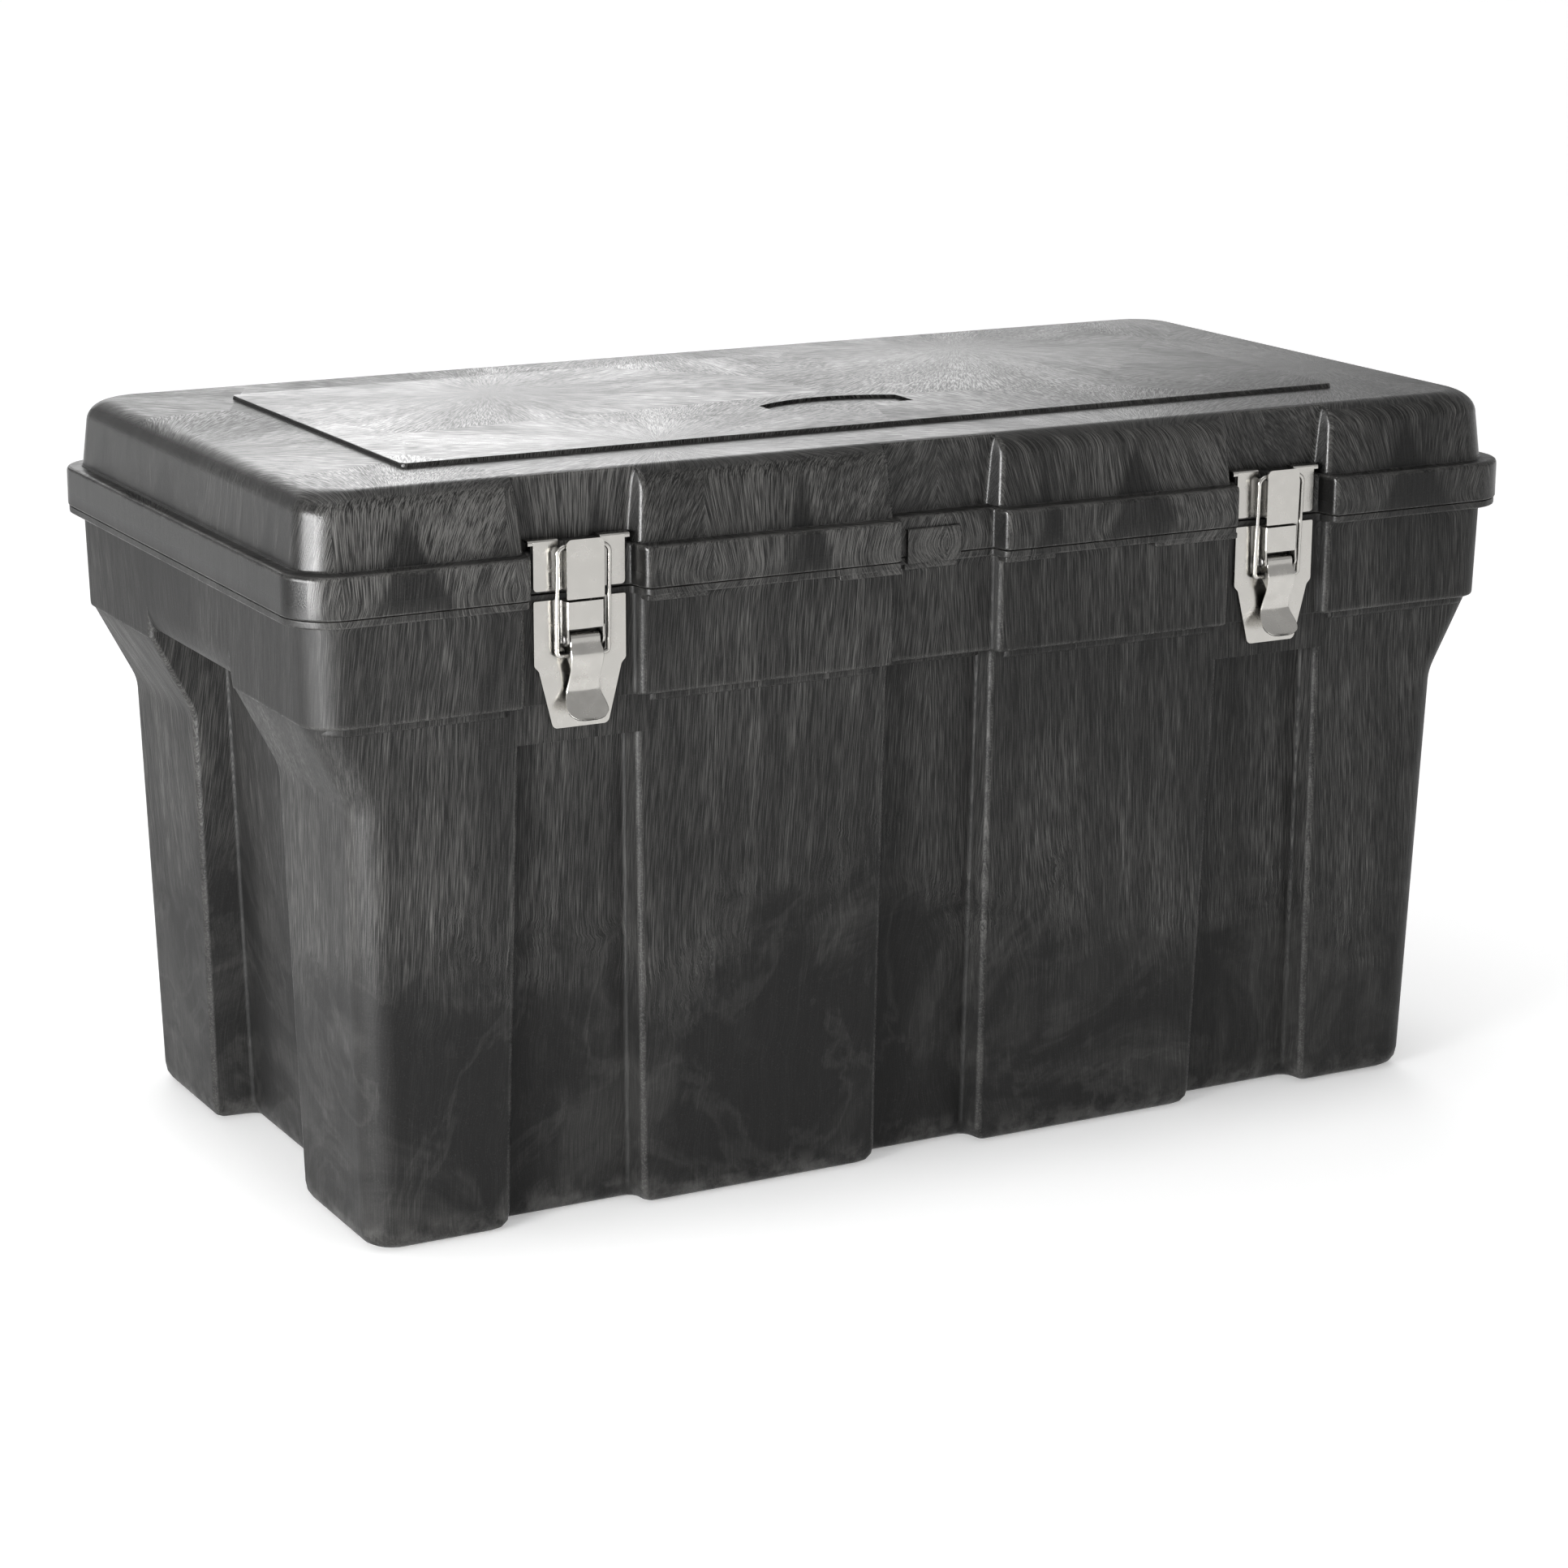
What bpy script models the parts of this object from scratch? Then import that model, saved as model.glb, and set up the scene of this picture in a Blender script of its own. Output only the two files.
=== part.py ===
"""A moulded plastic footlocker with a hinged lid and two steel draw latches.

Metres, +Z up. +X runs along the length, the latches face -Y and the base rests on z = 0.
"""

import math
from collections import namedtuple

import bmesh
import bpy
from mathutils import Matrix, Vector

# Case, as half sizes about the middle and as heights above the floor.
HALF_LENGTH = 0.395
HALF_DEPTH = 0.1985
BASE_HALF = (0.3525, 0.175)
KNEE_HALF_LENGTH = 0.3595
SHOULDER_HALF = (0.385, 0.190)
UNDER_SHOULDER_HALF_DEPTH = 0.1825
KNEE_Z = 0.257
PAD_FOOT_Z = 0.2825
SHOULDER_Z = 0.3045
FLANGE_Z = 0.361
SEAM_Z = 0.3652
LIP_Z = 0.371
RIM_Z = 0.389
LID_TOP_Z = 0.430
PANEL_Z = 0.4325
WALL = 0.005
GAP = 0.0003
CORNER = 0.027
CASE_CORNER = 0.018
BASE_ROUND = 0.012

# Recesses that run up the long sides and the ends.
LATCH_X = 0.228
PAD_Y = 0.1835
PAD_HALF = 0.0345
END_HALF = 0.066
EDGE = 0.004
CORNER_STEPS = 4

# End grips: a lip with a finger pocket behind it.
GRIP_LIP_Z = 0.3085
GRIP_BACK = 0.339
POCKET_TOP_Z = 0.338
POCKET_FRONT = 0.3765

# Lid.
LID_WALL_HALF = (0.387, 0.189)
LID_ROUND = 0.014
LID_DRAFT = 0.0025
LID_RECESS_BACK = 0.177
PANEL_HALF = (0.307, 0.130)
BADGE_HALF = 0.046
BADGE_DEPTH = 0.002
BOSS_TOP_Z = 0.3935

# Hinge, behind each latch.
HINGE_Y = 0.2005
HINGE_Z = 0.36535
KNUCKLE_RADIUS = 0.0065
HINGE_PIN_RADIUS = 0.0025
KNUCKLE_HALF = 0.0135
KNUCKLE_END = 0.028

# Latch. Depths are measured outward from the pad that carries the base plate.
SHEET = 0.0012
STRIKE_BOTTOM_Z = 0.367
STRIKE_TOP_Z = 0.395
SADDLE_Z = 0.3898
TONGUE_TOP_Z = 0.3955
TONGUE_OUT = 0.0093
PLATE_HALF = 0.0275
PLATE_TOP_Z = 0.3619
PLATE_BOTTOM_Z = 0.2905
BRIDGE_Z = 0.3465
BRIDGE_OUT = 0.0095
LEVER_PIVOT = (0.0055, 0.3405)
BAIL_PIVOT = (0.0046, 0.3313)
BAIL_BAR_OUT = 0.0065
LEVER_PIN_RADIUS = 0.0013
LEVER_SHEET = 0.0014
WIRE_RADIUS = 0.0013
BAIL_HALF = 0.01545
BAIL_BEND = 0.0045
BAIL_END = 0.0070
RIVET_RADIUS = 0.0020
RIVET_HEAD_RADIUS = 0.0029
RIVET_TAIL_RADIUS = 0.0034
RIVET_HEAD_HEIGHT = 0.0014
LEVER_PIN_HEAD_RADIUS = 0.0023
HINGE_PIN_HEAD_RADIUS = 0.0045
STRIKE_RIVET_ACROSS = 0.005
STRIKE_RIVET_Z = 0.377
BASE_RIVET_ZS = (0.354, 0.315)
STRIKE_INNER_FACE = 0.178
BASE_INNER_FACE = 0.172

# Tab on the lid's rim that hangs over the case's flange in the middle recess, as (y, z).
TAB_X = (-0.0255, 0.0091)
TAB_OUTLINE = [
    (-0.1888, 0.3618), (-0.1863, 0.3618), (-0.1863, 0.3668),
    (-0.1835, 0.3668), (-0.1835, 0.3815), (-0.1888, 0.3815),
]

SHARP_ANGLE = math.radians(35.0)

Level = namedtuple("Level", "z half_x half_y corner latch hinge centre end")


def clear_scene():
    for obj in list(bpy.data.objects):
        bpy.data.objects.remove(obj, do_unlink=True)


def make_material(name, colour, roughness, metallic):
    material = bpy.data.materials.new(name)
    material.use_nodes = True
    shader = material.node_tree.nodes["Principled BSDF"]
    shader.inputs["Base Color"].default_value = (*colour, 1.0)
    shader.inputs["Roughness"].default_value = roughness
    shader.inputs["Metallic"].default_value = metallic
    return material


def add_object(name, bm, material=None, origin=(0.0, 0.0, 0.0), parent=None):
    """Turns world-space geometry into an object whose origin is the given world point."""
    mesh = bpy.data.meshes.new(name)
    bm.transform(Matrix.Translation(-Vector(origin)))
    bm.to_mesh(mesh)
    bm.free()
    mesh.shade_smooth()
    mesh.set_sharp_from_angle(angle=SHARP_ANGLE)
    obj = bpy.data.objects.new(name, mesh)
    bpy.context.scene.collection.objects.link(obj)
    obj.location = Vector(origin) - world_origin(parent)
    obj.parent = parent
    if material:
        mesh.materials.append(material)
    return obj


def world_origin(obj):
    """No object here is turned, so an origin is the sum of the locations above it."""
    return Vector(obj.location) + world_origin(obj.parent) if obj else Vector()


def add_empty(name, origin):
    empty = bpy.data.objects.new(name, None)
    bpy.context.scene.collection.objects.link(empty)
    empty.location = origin
    return empty


def combine(obj, bm, operation):
    """Adds or cuts the shapes in bm, in world space, with a Boolean modifier on obj."""
    tool = add_object(f"{obj.name}_{operation.lower()}", bm)
    tool.hide_render = True
    tool.display_type = "WIRE"
    modifier = obj.modifiers.new(operation.title(), "BOOLEAN")
    modifier.operation = operation
    modifier.solver = "EXACT"
    modifier.object = tool


def prism(bm, outline, axis, low, high):
    """A closed prism: its outline is drawn across the axis, in the order of the other two."""
    index = "xyz".index(axis)
    ends = []
    for along in (low, high):
        points = [Vector(pair[:index] + (along,) + pair[index:]) for pair in outline]
        ends.append([bm.verts.new(point) for point in points])
    faces = [bm.faces.new(end) for end in ends]
    for i, vertex in enumerate(ends[0]):
        after = (i + 1) % len(outline)
        faces.append(bm.faces.new((vertex, ends[0][after], ends[1][after], ends[1][i])))
    bmesh.ops.recalc_face_normals(bm, faces=faces)


def box(bm, x, y, z):
    prism(bm, [(x[0], y[0]), (x[1], y[0]), (x[1], y[1]), (x[0], y[1])], "z", *z)


def arc(centre, radius, start, stop, steps):
    """Points on an arc, with angles in degrees."""
    angles = [math.radians(start + (stop - start) * k / steps) for k in range(steps + 1)]
    return [(centre[0] + radius * math.cos(a), centre[1] + radius * math.sin(a)) for a in angles]


def circle(centre, radius, steps=16):
    return arc(centre, radius, 0.0, 360.0, steps)[:-1]


def side_points(recesses):
    """Points (along, depth) of one side's recesses, each (middle, half width, depth)."""
    points = []
    for middle, half, depth in recesses:
        lip = min(EDGE, max(depth, 0.0) / 2)
        foot = half - EDGE / 2
        points += [(middle - half - EDGE, 0.0), (middle - half, lip), (middle - foot, depth)]
        points += [(middle + foot, depth), (middle + half, lip), (middle + half + EDGE, 0.0)]
    return points


def outline(level):
    """The level's outline seen from above, counter-clockwise from the front left."""
    _, a, b, r, latch, hinge, centre, end = level

    def long_side(outer):
        outer_recess = (outer[0], b - outer[1])
        centre_recess = (0.0, centre[0], b - centre[1])
        return side_points([(-LATCH_X, *outer_recess), centre_recess, (LATCH_X, *outer_recess)])

    ends = side_points([(0.0, end[0], a - end[1])])
    points = [(s, d - b) for s, d in long_side(latch)]
    points += arc((a - r, r - b), r, -90.0, 0.0, CORNER_STEPS)
    points += [(a - d, s) for s, d in ends]
    points += arc((a - r, b - r), r, 0.0, 90.0, CORNER_STEPS)
    points += [(-s, b - d) for s, d in long_side(hinge)]
    points += arc((r - a, b - r), r, 90.0, 180.0, CORNER_STEPS)
    points += [(d - a, -s) for s, d in ends]
    points += arc((r - a, r - b), r, 180.0, 270.0, CORNER_STEPS)
    return points


def inset(level, amount):
    """The same level with every face moved into the material by amount."""
    recesses = [(half + amount, back - amount) for half, back in level[4:]]
    corner = max(level.corner - amount, 0.003)
    return Level(level.z, level.half_x - amount, level.half_y - amount, corner, *recesses)


def loft(levels):
    """One closed skin through the levels, in order, with a cap on the first and the last."""
    bm = bmesh.new()
    rings = [[bm.verts.new((x, y, level.z)) for x, y in outline(level)] for level in levels]
    for ring, following in zip(rings, rings[1:]):
        for i, vertex in enumerate(ring):
            after = (i + 1) % len(ring)
            bm.faces.new((vertex, ring[after], following[after], following[i]))
    bm.faces.new(reversed(rings[0]))
    bm.faces.new(rings[-1])
    bmesh.ops.remove_doubles(bm, verts=bm.verts[:], dist=0.00001)
    return bm


def mix(start, stop, share):
    return start + (stop - start) * share


def lower_level(z):
    """The tapered lower case, where recesses run full height between the pillars."""
    share = z / SHOULDER_Z
    half_y = mix(BASE_HALF[1], UNDER_SHOULDER_HALF_DEPTH, share)
    if z <= KNEE_Z:
        half_x = mix(BASE_HALF[0], KNEE_HALF_LENGTH, z / KNEE_Z)
    else:
        half_x = mix(KNEE_HALF_LENGTH, SHOULDER_HALF[0] - 0.0008, (z - KNEE_Z) / (SHOULDER_Z - KNEE_Z))
    outer = (mix(0.041, PAD_HALF, share), mix(0.160, 0.1705, share))
    centre = (mix(0.0345, 0.0335, share), mix(0.160, 0.1705, share))
    end = (mix(0.072, END_HALF, share), mix(0.328, GRIP_BACK, share))
    return Level(z, half_x, half_y, CASE_CORNER, outer, outer, centre, end)


def with_pads(level):
    """The outer recesses filled out to the pads that carry the latches."""
    pad = (level.latch[0], PAD_Y)
    return level._replace(latch=pad, hinge=pad)


def shoulder_level(z, end_back):
    share = (z - SHOULDER_Z) / (FLANGE_Z - SHOULDER_Z)
    half_x = mix(SHOULDER_HALF[0], SHOULDER_HALF[0] + 0.0015, share)
    half_y = mix(SHOULDER_HALF[1], SHOULDER_HALF[1] + 0.0005, share)
    pad = (PAD_HALF, PAD_Y)
    back = min(end_back, half_x)
    return Level(z, half_x, half_y, CASE_CORNER + 0.004, pad, pad, pad, (END_HALF, back))


def flange_level(z):
    half_x, half_y = HALF_LENGTH - 0.0005, HALF_DEPTH - 0.0005
    set_back = (0.0335, 0.186)
    return Level(
        z, half_x, half_y, CORNER, (PAD_HALF, PAD_Y), set_back, set_back, (END_HALF, half_x)
    )


def seat_level(z, half_x, half_y, latch_back, other_back):
    outer, other = (0.0395, latch_back), (0.0395, other_back)
    return Level(z, half_x, half_y, CORNER - 0.006, outer, other, other, (END_HALF, half_x))


def inner_upper_level(z, end_back):
    recess = (0.0425, 0.172)
    end = (END_HALF + WALL, min(end_back, SHOULDER_HALF[0] - WALL))
    half_x, half_y = SHOULDER_HALF[0] - WALL, SHOULDER_HALF[1] - WALL
    return Level(z, half_x, half_y, CASE_CORNER, recess, recess, recess, end)


def inner_lower_level(z):
    return inset(lower_level(z), WALL)


def body_levels():
    base = lower_level(0.0)
    grip_inner_back = GRIP_BACK - WALL
    outside = [
        inset(base, BASE_ROUND),
        inset(lower_level(0.3 * BASE_ROUND), 0.3 * BASE_ROUND),
        lower_level(BASE_ROUND),
        lower_level(KNEE_Z),
        lower_level(PAD_FOOT_Z),
        with_pads(lower_level(PAD_FOOT_Z)),
        with_pads(lower_level(SHOULDER_Z)),
        shoulder_level(SHOULDER_Z, GRIP_BACK),
        shoulder_level(GRIP_LIP_Z, GRIP_BACK),
        shoulder_level(GRIP_LIP_Z, SHOULDER_HALF[0] - 0.006),
        shoulder_level(GRIP_LIP_Z + 0.0035, SHOULDER_HALF[0] - 0.0025),
        shoulder_level(GRIP_LIP_Z + 0.012, HALF_LENGTH),
        shoulder_level(FLANGE_Z, HALF_LENGTH),
        flange_level(FLANGE_Z),
        flange_level(SEAM_Z),
    ]
    seat_half = (HALF_LENGTH - 0.006, HALF_DEPTH - 0.006)
    inside = [
        seat_level(SEAM_Z, *seat_half, 0.177, 0.1805),
        seat_level(LIP_Z, *seat_half, 0.177, 0.1805),
        inner_upper_level(LIP_Z, HALF_LENGTH),
        inner_upper_level(POCKET_TOP_Z + 0.007, HALF_LENGTH),
        inner_upper_level(POCKET_TOP_Z + 0.007, grip_inner_back),
        inner_upper_level(SHOULDER_Z - WALL, grip_inner_back),
        inner_lower_level(SHOULDER_Z - WALL),
        inner_lower_level(KNEE_Z),
        inner_lower_level(WALL),
    ]
    return outside + inside


def knuckle_outline(above):
    """A knuckle around the hinge axis and the arm that ties it to the wall, as (y, z)."""
    sign = 1.0 if above else -1.0
    arm_z = HINGE_Z + sign * 0.0007
    near_y = PAD_Y - 0.0015
    round_part = arc((HINGE_Y, HINGE_Z), KNUCKLE_RADIUS, 180.0, 180.0 + sign * 270.0, 15)
    round_part[0] = (round_part[0][0], arm_z)
    return [(near_y, arm_z), *round_part, (near_y, round_part[-1][1])]


def hinge_hole(bm, x):
    radius = HINGE_PIN_RADIUS + GAP
    hole = circle((HINGE_Y, HINGE_Z), radius)
    prism(bm, hole, "x", x - KNUCKLE_END - 0.002, x + KNUCKLE_END + 0.002)


def rivet_holes(bm, places, out, inside):
    for x, z in places:
        hole = circle((x, z), RIVET_RADIUS + GAP, 12)
        prism(bm, hole, "y", -out, -inside)


def strike_rivet_places(x):
    return [(x + side * STRIKE_RIVET_ACROSS, STRIKE_RIVET_Z) for side in (-1, 1)]


def base_rivet_places(x):
    return [(x, z) for z in BASE_RIVET_ZS]


def build_body(material):
    body = add_object("body_shell", loft(body_levels()), material)
    knuckles = bmesh.new()
    cuts = bmesh.new()
    for x in (-LATCH_X, LATCH_X):
        for side in (-1, 1):
            near, far = x + side * (KNUCKLE_HALF + 2 * GAP), x + side * KNUCKLE_END
            prism(knuckles, knuckle_outline(False), "x", min(near, far), max(near, far))
        hinge_hole(cuts, x)
        rivet_holes(cuts, base_rivet_places(x), PAD_Y + 0.004, 0.165)
    for side in (-1, 1):
        x = sorted((side * GRIP_BACK, side * POCKET_FRONT))
        box(cuts, x, (0.007 - END_HALF, END_HALF - 0.007), (0.300, POCKET_TOP_Z))
    combine(body, knuckles, "UNION")
    combine(body, cuts, "DIFFERENCE")
    return body


def rim_level(z, amount):
    set_back = (0.0335, 0.1865)
    level = Level(
        z, HALF_LENGTH, HALF_DEPTH, CORNER, (0.0335, 0.183), set_back, set_back,
        (END_HALF, HALF_LENGTH),
    )
    level = inset(level, amount)
    return level._replace(end=(END_HALF, level.half_x))


def lid_wall_level(z, half_x, half_y):
    recess = (mix(0.034, 0.037, (z - RIM_Z) / (LID_TOP_Z - RIM_Z)), min(LID_RECESS_BACK, half_y))
    return Level(z, half_x, half_y, CORNER - 0.004, recess, recess, recess, (END_HALF, half_x))


def lid_round_level(angle):
    """A level on the rounded edge between the lid's wall and its top."""
    turn = math.radians(angle)
    half_x = LID_WALL_HALF[0] - LID_DRAFT - LID_ROUND * (1 - math.cos(turn))
    half_y = LID_WALL_HALF[1] - LID_DRAFT - LID_ROUND * (1 - math.cos(turn))
    return lid_wall_level(LID_TOP_Z - LID_ROUND * (1 - math.sin(turn)), half_x, half_y)


def panel_level(z, amount):
    half_x, half_y = PANEL_HALF[0] - amount, PANEL_HALF[1] - amount
    recess = (0.034, half_y)
    return Level(z, half_x, half_y, 0.006, recess, recess, recess, (END_HALF, half_x))


def inner_lid_level(z, amount):
    half_x, half_y = LID_WALL_HALF[0] - amount, LID_WALL_HALF[1] - amount
    recess = (0.039, min(LID_RECESS_BACK - WALL, half_y))
    return Level(z, half_x, half_y, CASE_CORNER, recess, recess, recess, (END_HALF, half_x))


def lid_levels():
    seam = SEAM_Z + GAP
    inner_rim = rim_level(seam, WALL)
    inside = [
        inner_lid_level(LID_TOP_Z - WALL, WALL + LID_ROUND),
        inner_lid_level(LID_TOP_Z - LID_ROUND, WALL + LID_DRAFT),
        inner_lid_level(RIM_Z - WALL, WALL),
        inner_rim._replace(z=RIM_Z - WALL),
        inner_rim,
    ]
    outside = [
        rim_level(seam, 0.0),
        rim_level(RIM_Z - 0.0025, 0.0),
        rim_level(RIM_Z, 0.0025),
        lid_wall_level(RIM_Z, *LID_WALL_HALF),
        lid_round_level(0.0),
        lid_round_level(30.0),
        lid_round_level(60.0),
        lid_round_level(90.0),
        panel_level(LID_TOP_Z, 0.0),
        panel_level(PANEL_Z, 0.0005),
    ]
    return inside + outside


def badge_outline():
    """The plain arched recess near the front of the lid's raised panel."""
    back = arc((0.0, -0.1228), 0.0878, 58.4, 121.6, 10)
    return [(-BADGE_HALF, -0.070), (BADGE_HALF, -0.070), *back]


def build_lid(material, parent):
    lid = add_object("lid_shell", loft(lid_levels()), material, parent.location, parent)
    added = bmesh.new()
    cuts = bmesh.new()
    for x in (-LATCH_X, LATCH_X):
        prism(added, knuckle_outline(True), "x", x - KNUCKLE_HALF, x + KNUCKLE_HALF)
        box(added, (x - 0.028, x + 0.028), (-0.1829, -0.1745), (0.386, BOSS_TOP_Z))
        hinge_hole(cuts, x)
        rivet_holes(cuts, strike_rivet_places(x), 0.190, 0.170)
    prism(added, TAB_OUTLINE, "x", *TAB_X)
    prism(cuts, badge_outline(), "z", PANEL_Z - BADGE_DEPTH, PANEL_Z + 0.004)
    combine(lid, added, "UNION")
    combine(lid, cuts, "DIFFERENCE")
    return lid


def build_hinge_pin(name, x, material):
    """A headed rod through one hinge's three knuckles."""
    bm = bmesh.new()
    end = x + KNUCKLE_END
    centre = (HINGE_Y, HINGE_Z)
    prism(bm, circle(centre, HINGE_PIN_RADIUS), "x", x - KNUCKLE_END - 0.001, end + 0.001)
    pin = add_object(name, bm, material, (x, HINGE_Y, HINGE_Z))
    head = bmesh.new()
    prism(head, circle(centre, HINGE_PIN_HEAD_RADIUS), "x", end + GAP, end + 0.0018)
    combine(pin, head, "UNION")
    return pin


def latch_prism(bm, outline_points, axis, low, high, x):
    """A prism in a latch's own terms: across from its middle, outward from the pad, and up."""
    if axis == "x":
        points = [(-PAD_Y - out, z) for out, z in outline_points]
        prism(bm, points, "x", x + low, x + high)
    else:
        points = [(x + across, z) for across, z in outline_points]
        prism(bm, points, "y", -PAD_Y - high, -PAD_Y - low)


def rectangle(low, high):
    return [low, (high[0], low[1]), high, (low[0], high[1])]


def mirrored_outline(right_side):
    """A left-right symmetric outline from the points of its right side, bottom to top."""
    return right_side + [(-across, z) for across, z in reversed(right_side)]


def build_strike(name, x, material, parent):
    """The keeper on the lid: a plate, and a raised tongue that the bail hooks behind."""
    plate = bmesh.new()
    right = [(0.024, STRIKE_BOTTOM_Z), (PLATE_HALF, STRIKE_BOTTOM_Z + 0.0035)]
    right += [(PLATE_HALF, STRIKE_TOP_Z)]
    latch_prism(plate, mirrored_outline(right), "y", -0.0002, 0.0013, x)
    strike = add_object(name, plate, material, parent.location, parent)
    walls = bmesh.new()
    for side in (-1, 1):
        low, high = sorted((side * 0.0103, side * 0.0115))
        wall = rectangle((0.0008, STRIKE_BOTTOM_Z + 0.0005), (0.0087, SADDLE_Z))
        latch_prism(walls, wall, "x", low, high, x)
        low, high = sorted((side * 0.011, side * 0.0305))
        flange = rectangle((-0.0062, BOSS_TOP_Z + GAP), (0.0007, STRIKE_TOP_Z + GAP))
        latch_prism(walls, flange, "x", low, high, x)
    combine(strike, walls, "UNION")
    tongue = bmesh.new()
    top = arc((0.0082, TONGUE_TOP_Z - 0.0035), 0.0035, 0.0, 90.0, 4)
    latch_prism(
        tongue, mirrored_outline([(0.0117, PLATE_TOP_Z + 0.0009), *top]), "y",
        TONGUE_OUT - SHEET, TONGUE_OUT, x,
    )
    combine(strike, tongue, "UNION")
    holes = bmesh.new()
    rivet_holes(holes, strike_rivet_places(x), PAD_Y + 0.004, PAD_Y - 0.002)
    combine(strike, holes, "DIFFERENCE")
    return strike


def base_plate_outline():
    foot = arc((0.0125, PLATE_BOTTOM_Z + 0.0045), 0.0045, -90.0, -10.0, 4)
    side = [(0.0245, 0.3225), (0.0262, 0.3240), (PLATE_HALF, 0.3258)]
    return mirrored_outline([*foot, *side, (PLATE_HALF, PLATE_TOP_Z)])


def build_base(name, x, material):
    """The latch's base plate on the case, with a bridge and two ears for the lever."""
    plate = bmesh.new()
    latch_prism(plate, base_plate_outline(), "y", GAP, GAP + SHEET, x)
    base = add_object(name, plate, material, (x, -PAD_Y, LEVER_PIVOT[1]))
    ears = bmesh.new()
    out, z = LEVER_PIVOT
    ear = [(0.0010, PLATE_TOP_Z - 0.0002), (0.0089, PLATE_TOP_Z - 0.0002)]
    ear += [(0.0089, BRIDGE_Z + 0.0003), *arc((out, z), 0.0038, 20.0, -90.0, 5)]
    ear += [(0.0010, z - 0.0020)]
    for side in (-1, 1):
        low, high = sorted((side * 0.01005, side * 0.01125))
        latch_prism(ears, ear, "x", low, high, x)
    combine(base, ears, "UNION")
    bridge = bmesh.new()
    front = rectangle((-0.0114, BRIDGE_Z), (0.0114, PLATE_TOP_Z - 0.0005))
    latch_prism(bridge, front, "y", BRIDGE_OUT - SHEET, BRIDGE_OUT, x)
    combine(base, bridge, "UNION")
    holes = bmesh.new()
    latch_prism(holes, circle((out, z), LEVER_PIN_RADIUS + GAP, 12), "x", -0.013, 0.013, x)
    rivet_holes(holes, base_rivet_places(x), PAD_Y + 0.004, PAD_Y - 0.002)
    combine(base, holes, "DIFFERENCE")
    return base


def lever_centreline():
    """Points (out, z, half width) from the free end of the curl to the tip of the finger tab."""
    out, z = LEVER_PIVOT
    curl_radius = LEVER_PIN_RADIUS + GAP + LEVER_SHEET / 2
    curl = [(p[0], p[1], 0.009) for p in arc((out, z), curl_radius, 300.0, 0.0, 12)]
    body = [(0.0083, 0.0035), (0.0099, 0.0062), (0.0105, 0.0090), (0.0100, 0.0130)]
    body += [(0.0083, 0.0180), (0.0060, 0.0230), (0.0047, 0.0275), (0.0048, 0.0300)]
    strip = [(n, z - down, 0.00975) for n, down in body]
    flare = [(0.0062, 0.0330, 0.0104), (0.0085, 0.0362, 0.0119), (0.0112, 0.0392, 0.0127)]
    tip = [(0.0130, 0.0412, 0.0121), (0.0144, 0.0428, 0.0102), (0.0153, 0.0438, 0.0072)]
    return curl + strip + [(n, z - down, half) for n, down, half in flare + tip]


def strip_mesh(x, points, thickness):
    """A bent sheet-metal strip that follows the points and takes its width from them."""
    bm = bmesh.new()
    rings = []
    for i, (out, z, half) in enumerate(points):
        before, after = points[max(i - 1, 0)], points[min(i + 1, len(points) - 1)]
        along = Vector((after[0] - before[0], after[1] - before[1])).normalized()
        across = Vector((-along.y, along.x)) * thickness / 2
        corners = [(-half, -1), (half, -1), (half, 1), (-half, 1)]
        ring = []
        for side, sign in corners:
            place = (x + side, -PAD_Y - out - sign * across.x, z + sign * across.y)
            ring.append(bm.verts.new(place))
        rings.append(ring)
    for ring, following in zip(rings, rings[1:]):
        for i in range(4):
            bm.faces.new((ring[i], ring[(i + 1) % 4], following[(i + 1) % 4], following[i]))
    bm.faces.new(rings[0])
    bm.faces.new(rings[-1])
    bmesh.ops.recalc_face_normals(bm, faces=bm.faces[:])
    return bm


def build_lever(name, x, material):
    """The lever, curled round its pin, with a flange on each side that carries the bail."""
    origin = (x, -PAD_Y - LEVER_PIVOT[0], LEVER_PIVOT[1])
    lever = add_object(name, strip_mesh(x, lever_centreline(), LEVER_SHEET), material, origin)
    flanges = bmesh.new()
    out, z = BAIL_PIVOT
    flange = arc((out, z), 0.0026, 90.0, 270.0, 8) + [(0.0103, z - 0.0026), (0.0100, z + 0.0020)]
    for side in (-1, 1):
        low, high = sorted((side * 0.0074, side * 0.0089))
        latch_prism(flanges, flange, "x", low, high, x)
    combine(lever, flanges, "UNION")
    holes = bmesh.new()
    latch_prism(holes, circle((out, z), WIRE_RADIUS + GAP, 12), "x", -0.0105, 0.0105, x)
    combine(lever, holes, "DIFFERENCE")
    return lever


def bail_path():
    """The wire's centreline from its foot to the middle of its bar, as (across, along)."""
    length = math.hypot(SADDLE_Z + WIRE_RADIUS + GAP - BAIL_PIVOT[1], BAIL_BAR_OUT - BAIL_PIVOT[0])
    foot_bend = 0.0022
    foot = arc((BAIL_HALF - foot_bend, foot_bend), foot_bend, -90.0, 0.0, 4)
    top = arc((BAIL_HALF - BAIL_BEND, length - BAIL_BEND), BAIL_BEND, 0.0, 90.0, 6)
    right = [(BAIL_END, 0.0), *foot, *top]
    return right + [(-across, along) for across, along in reversed(right)]


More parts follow.
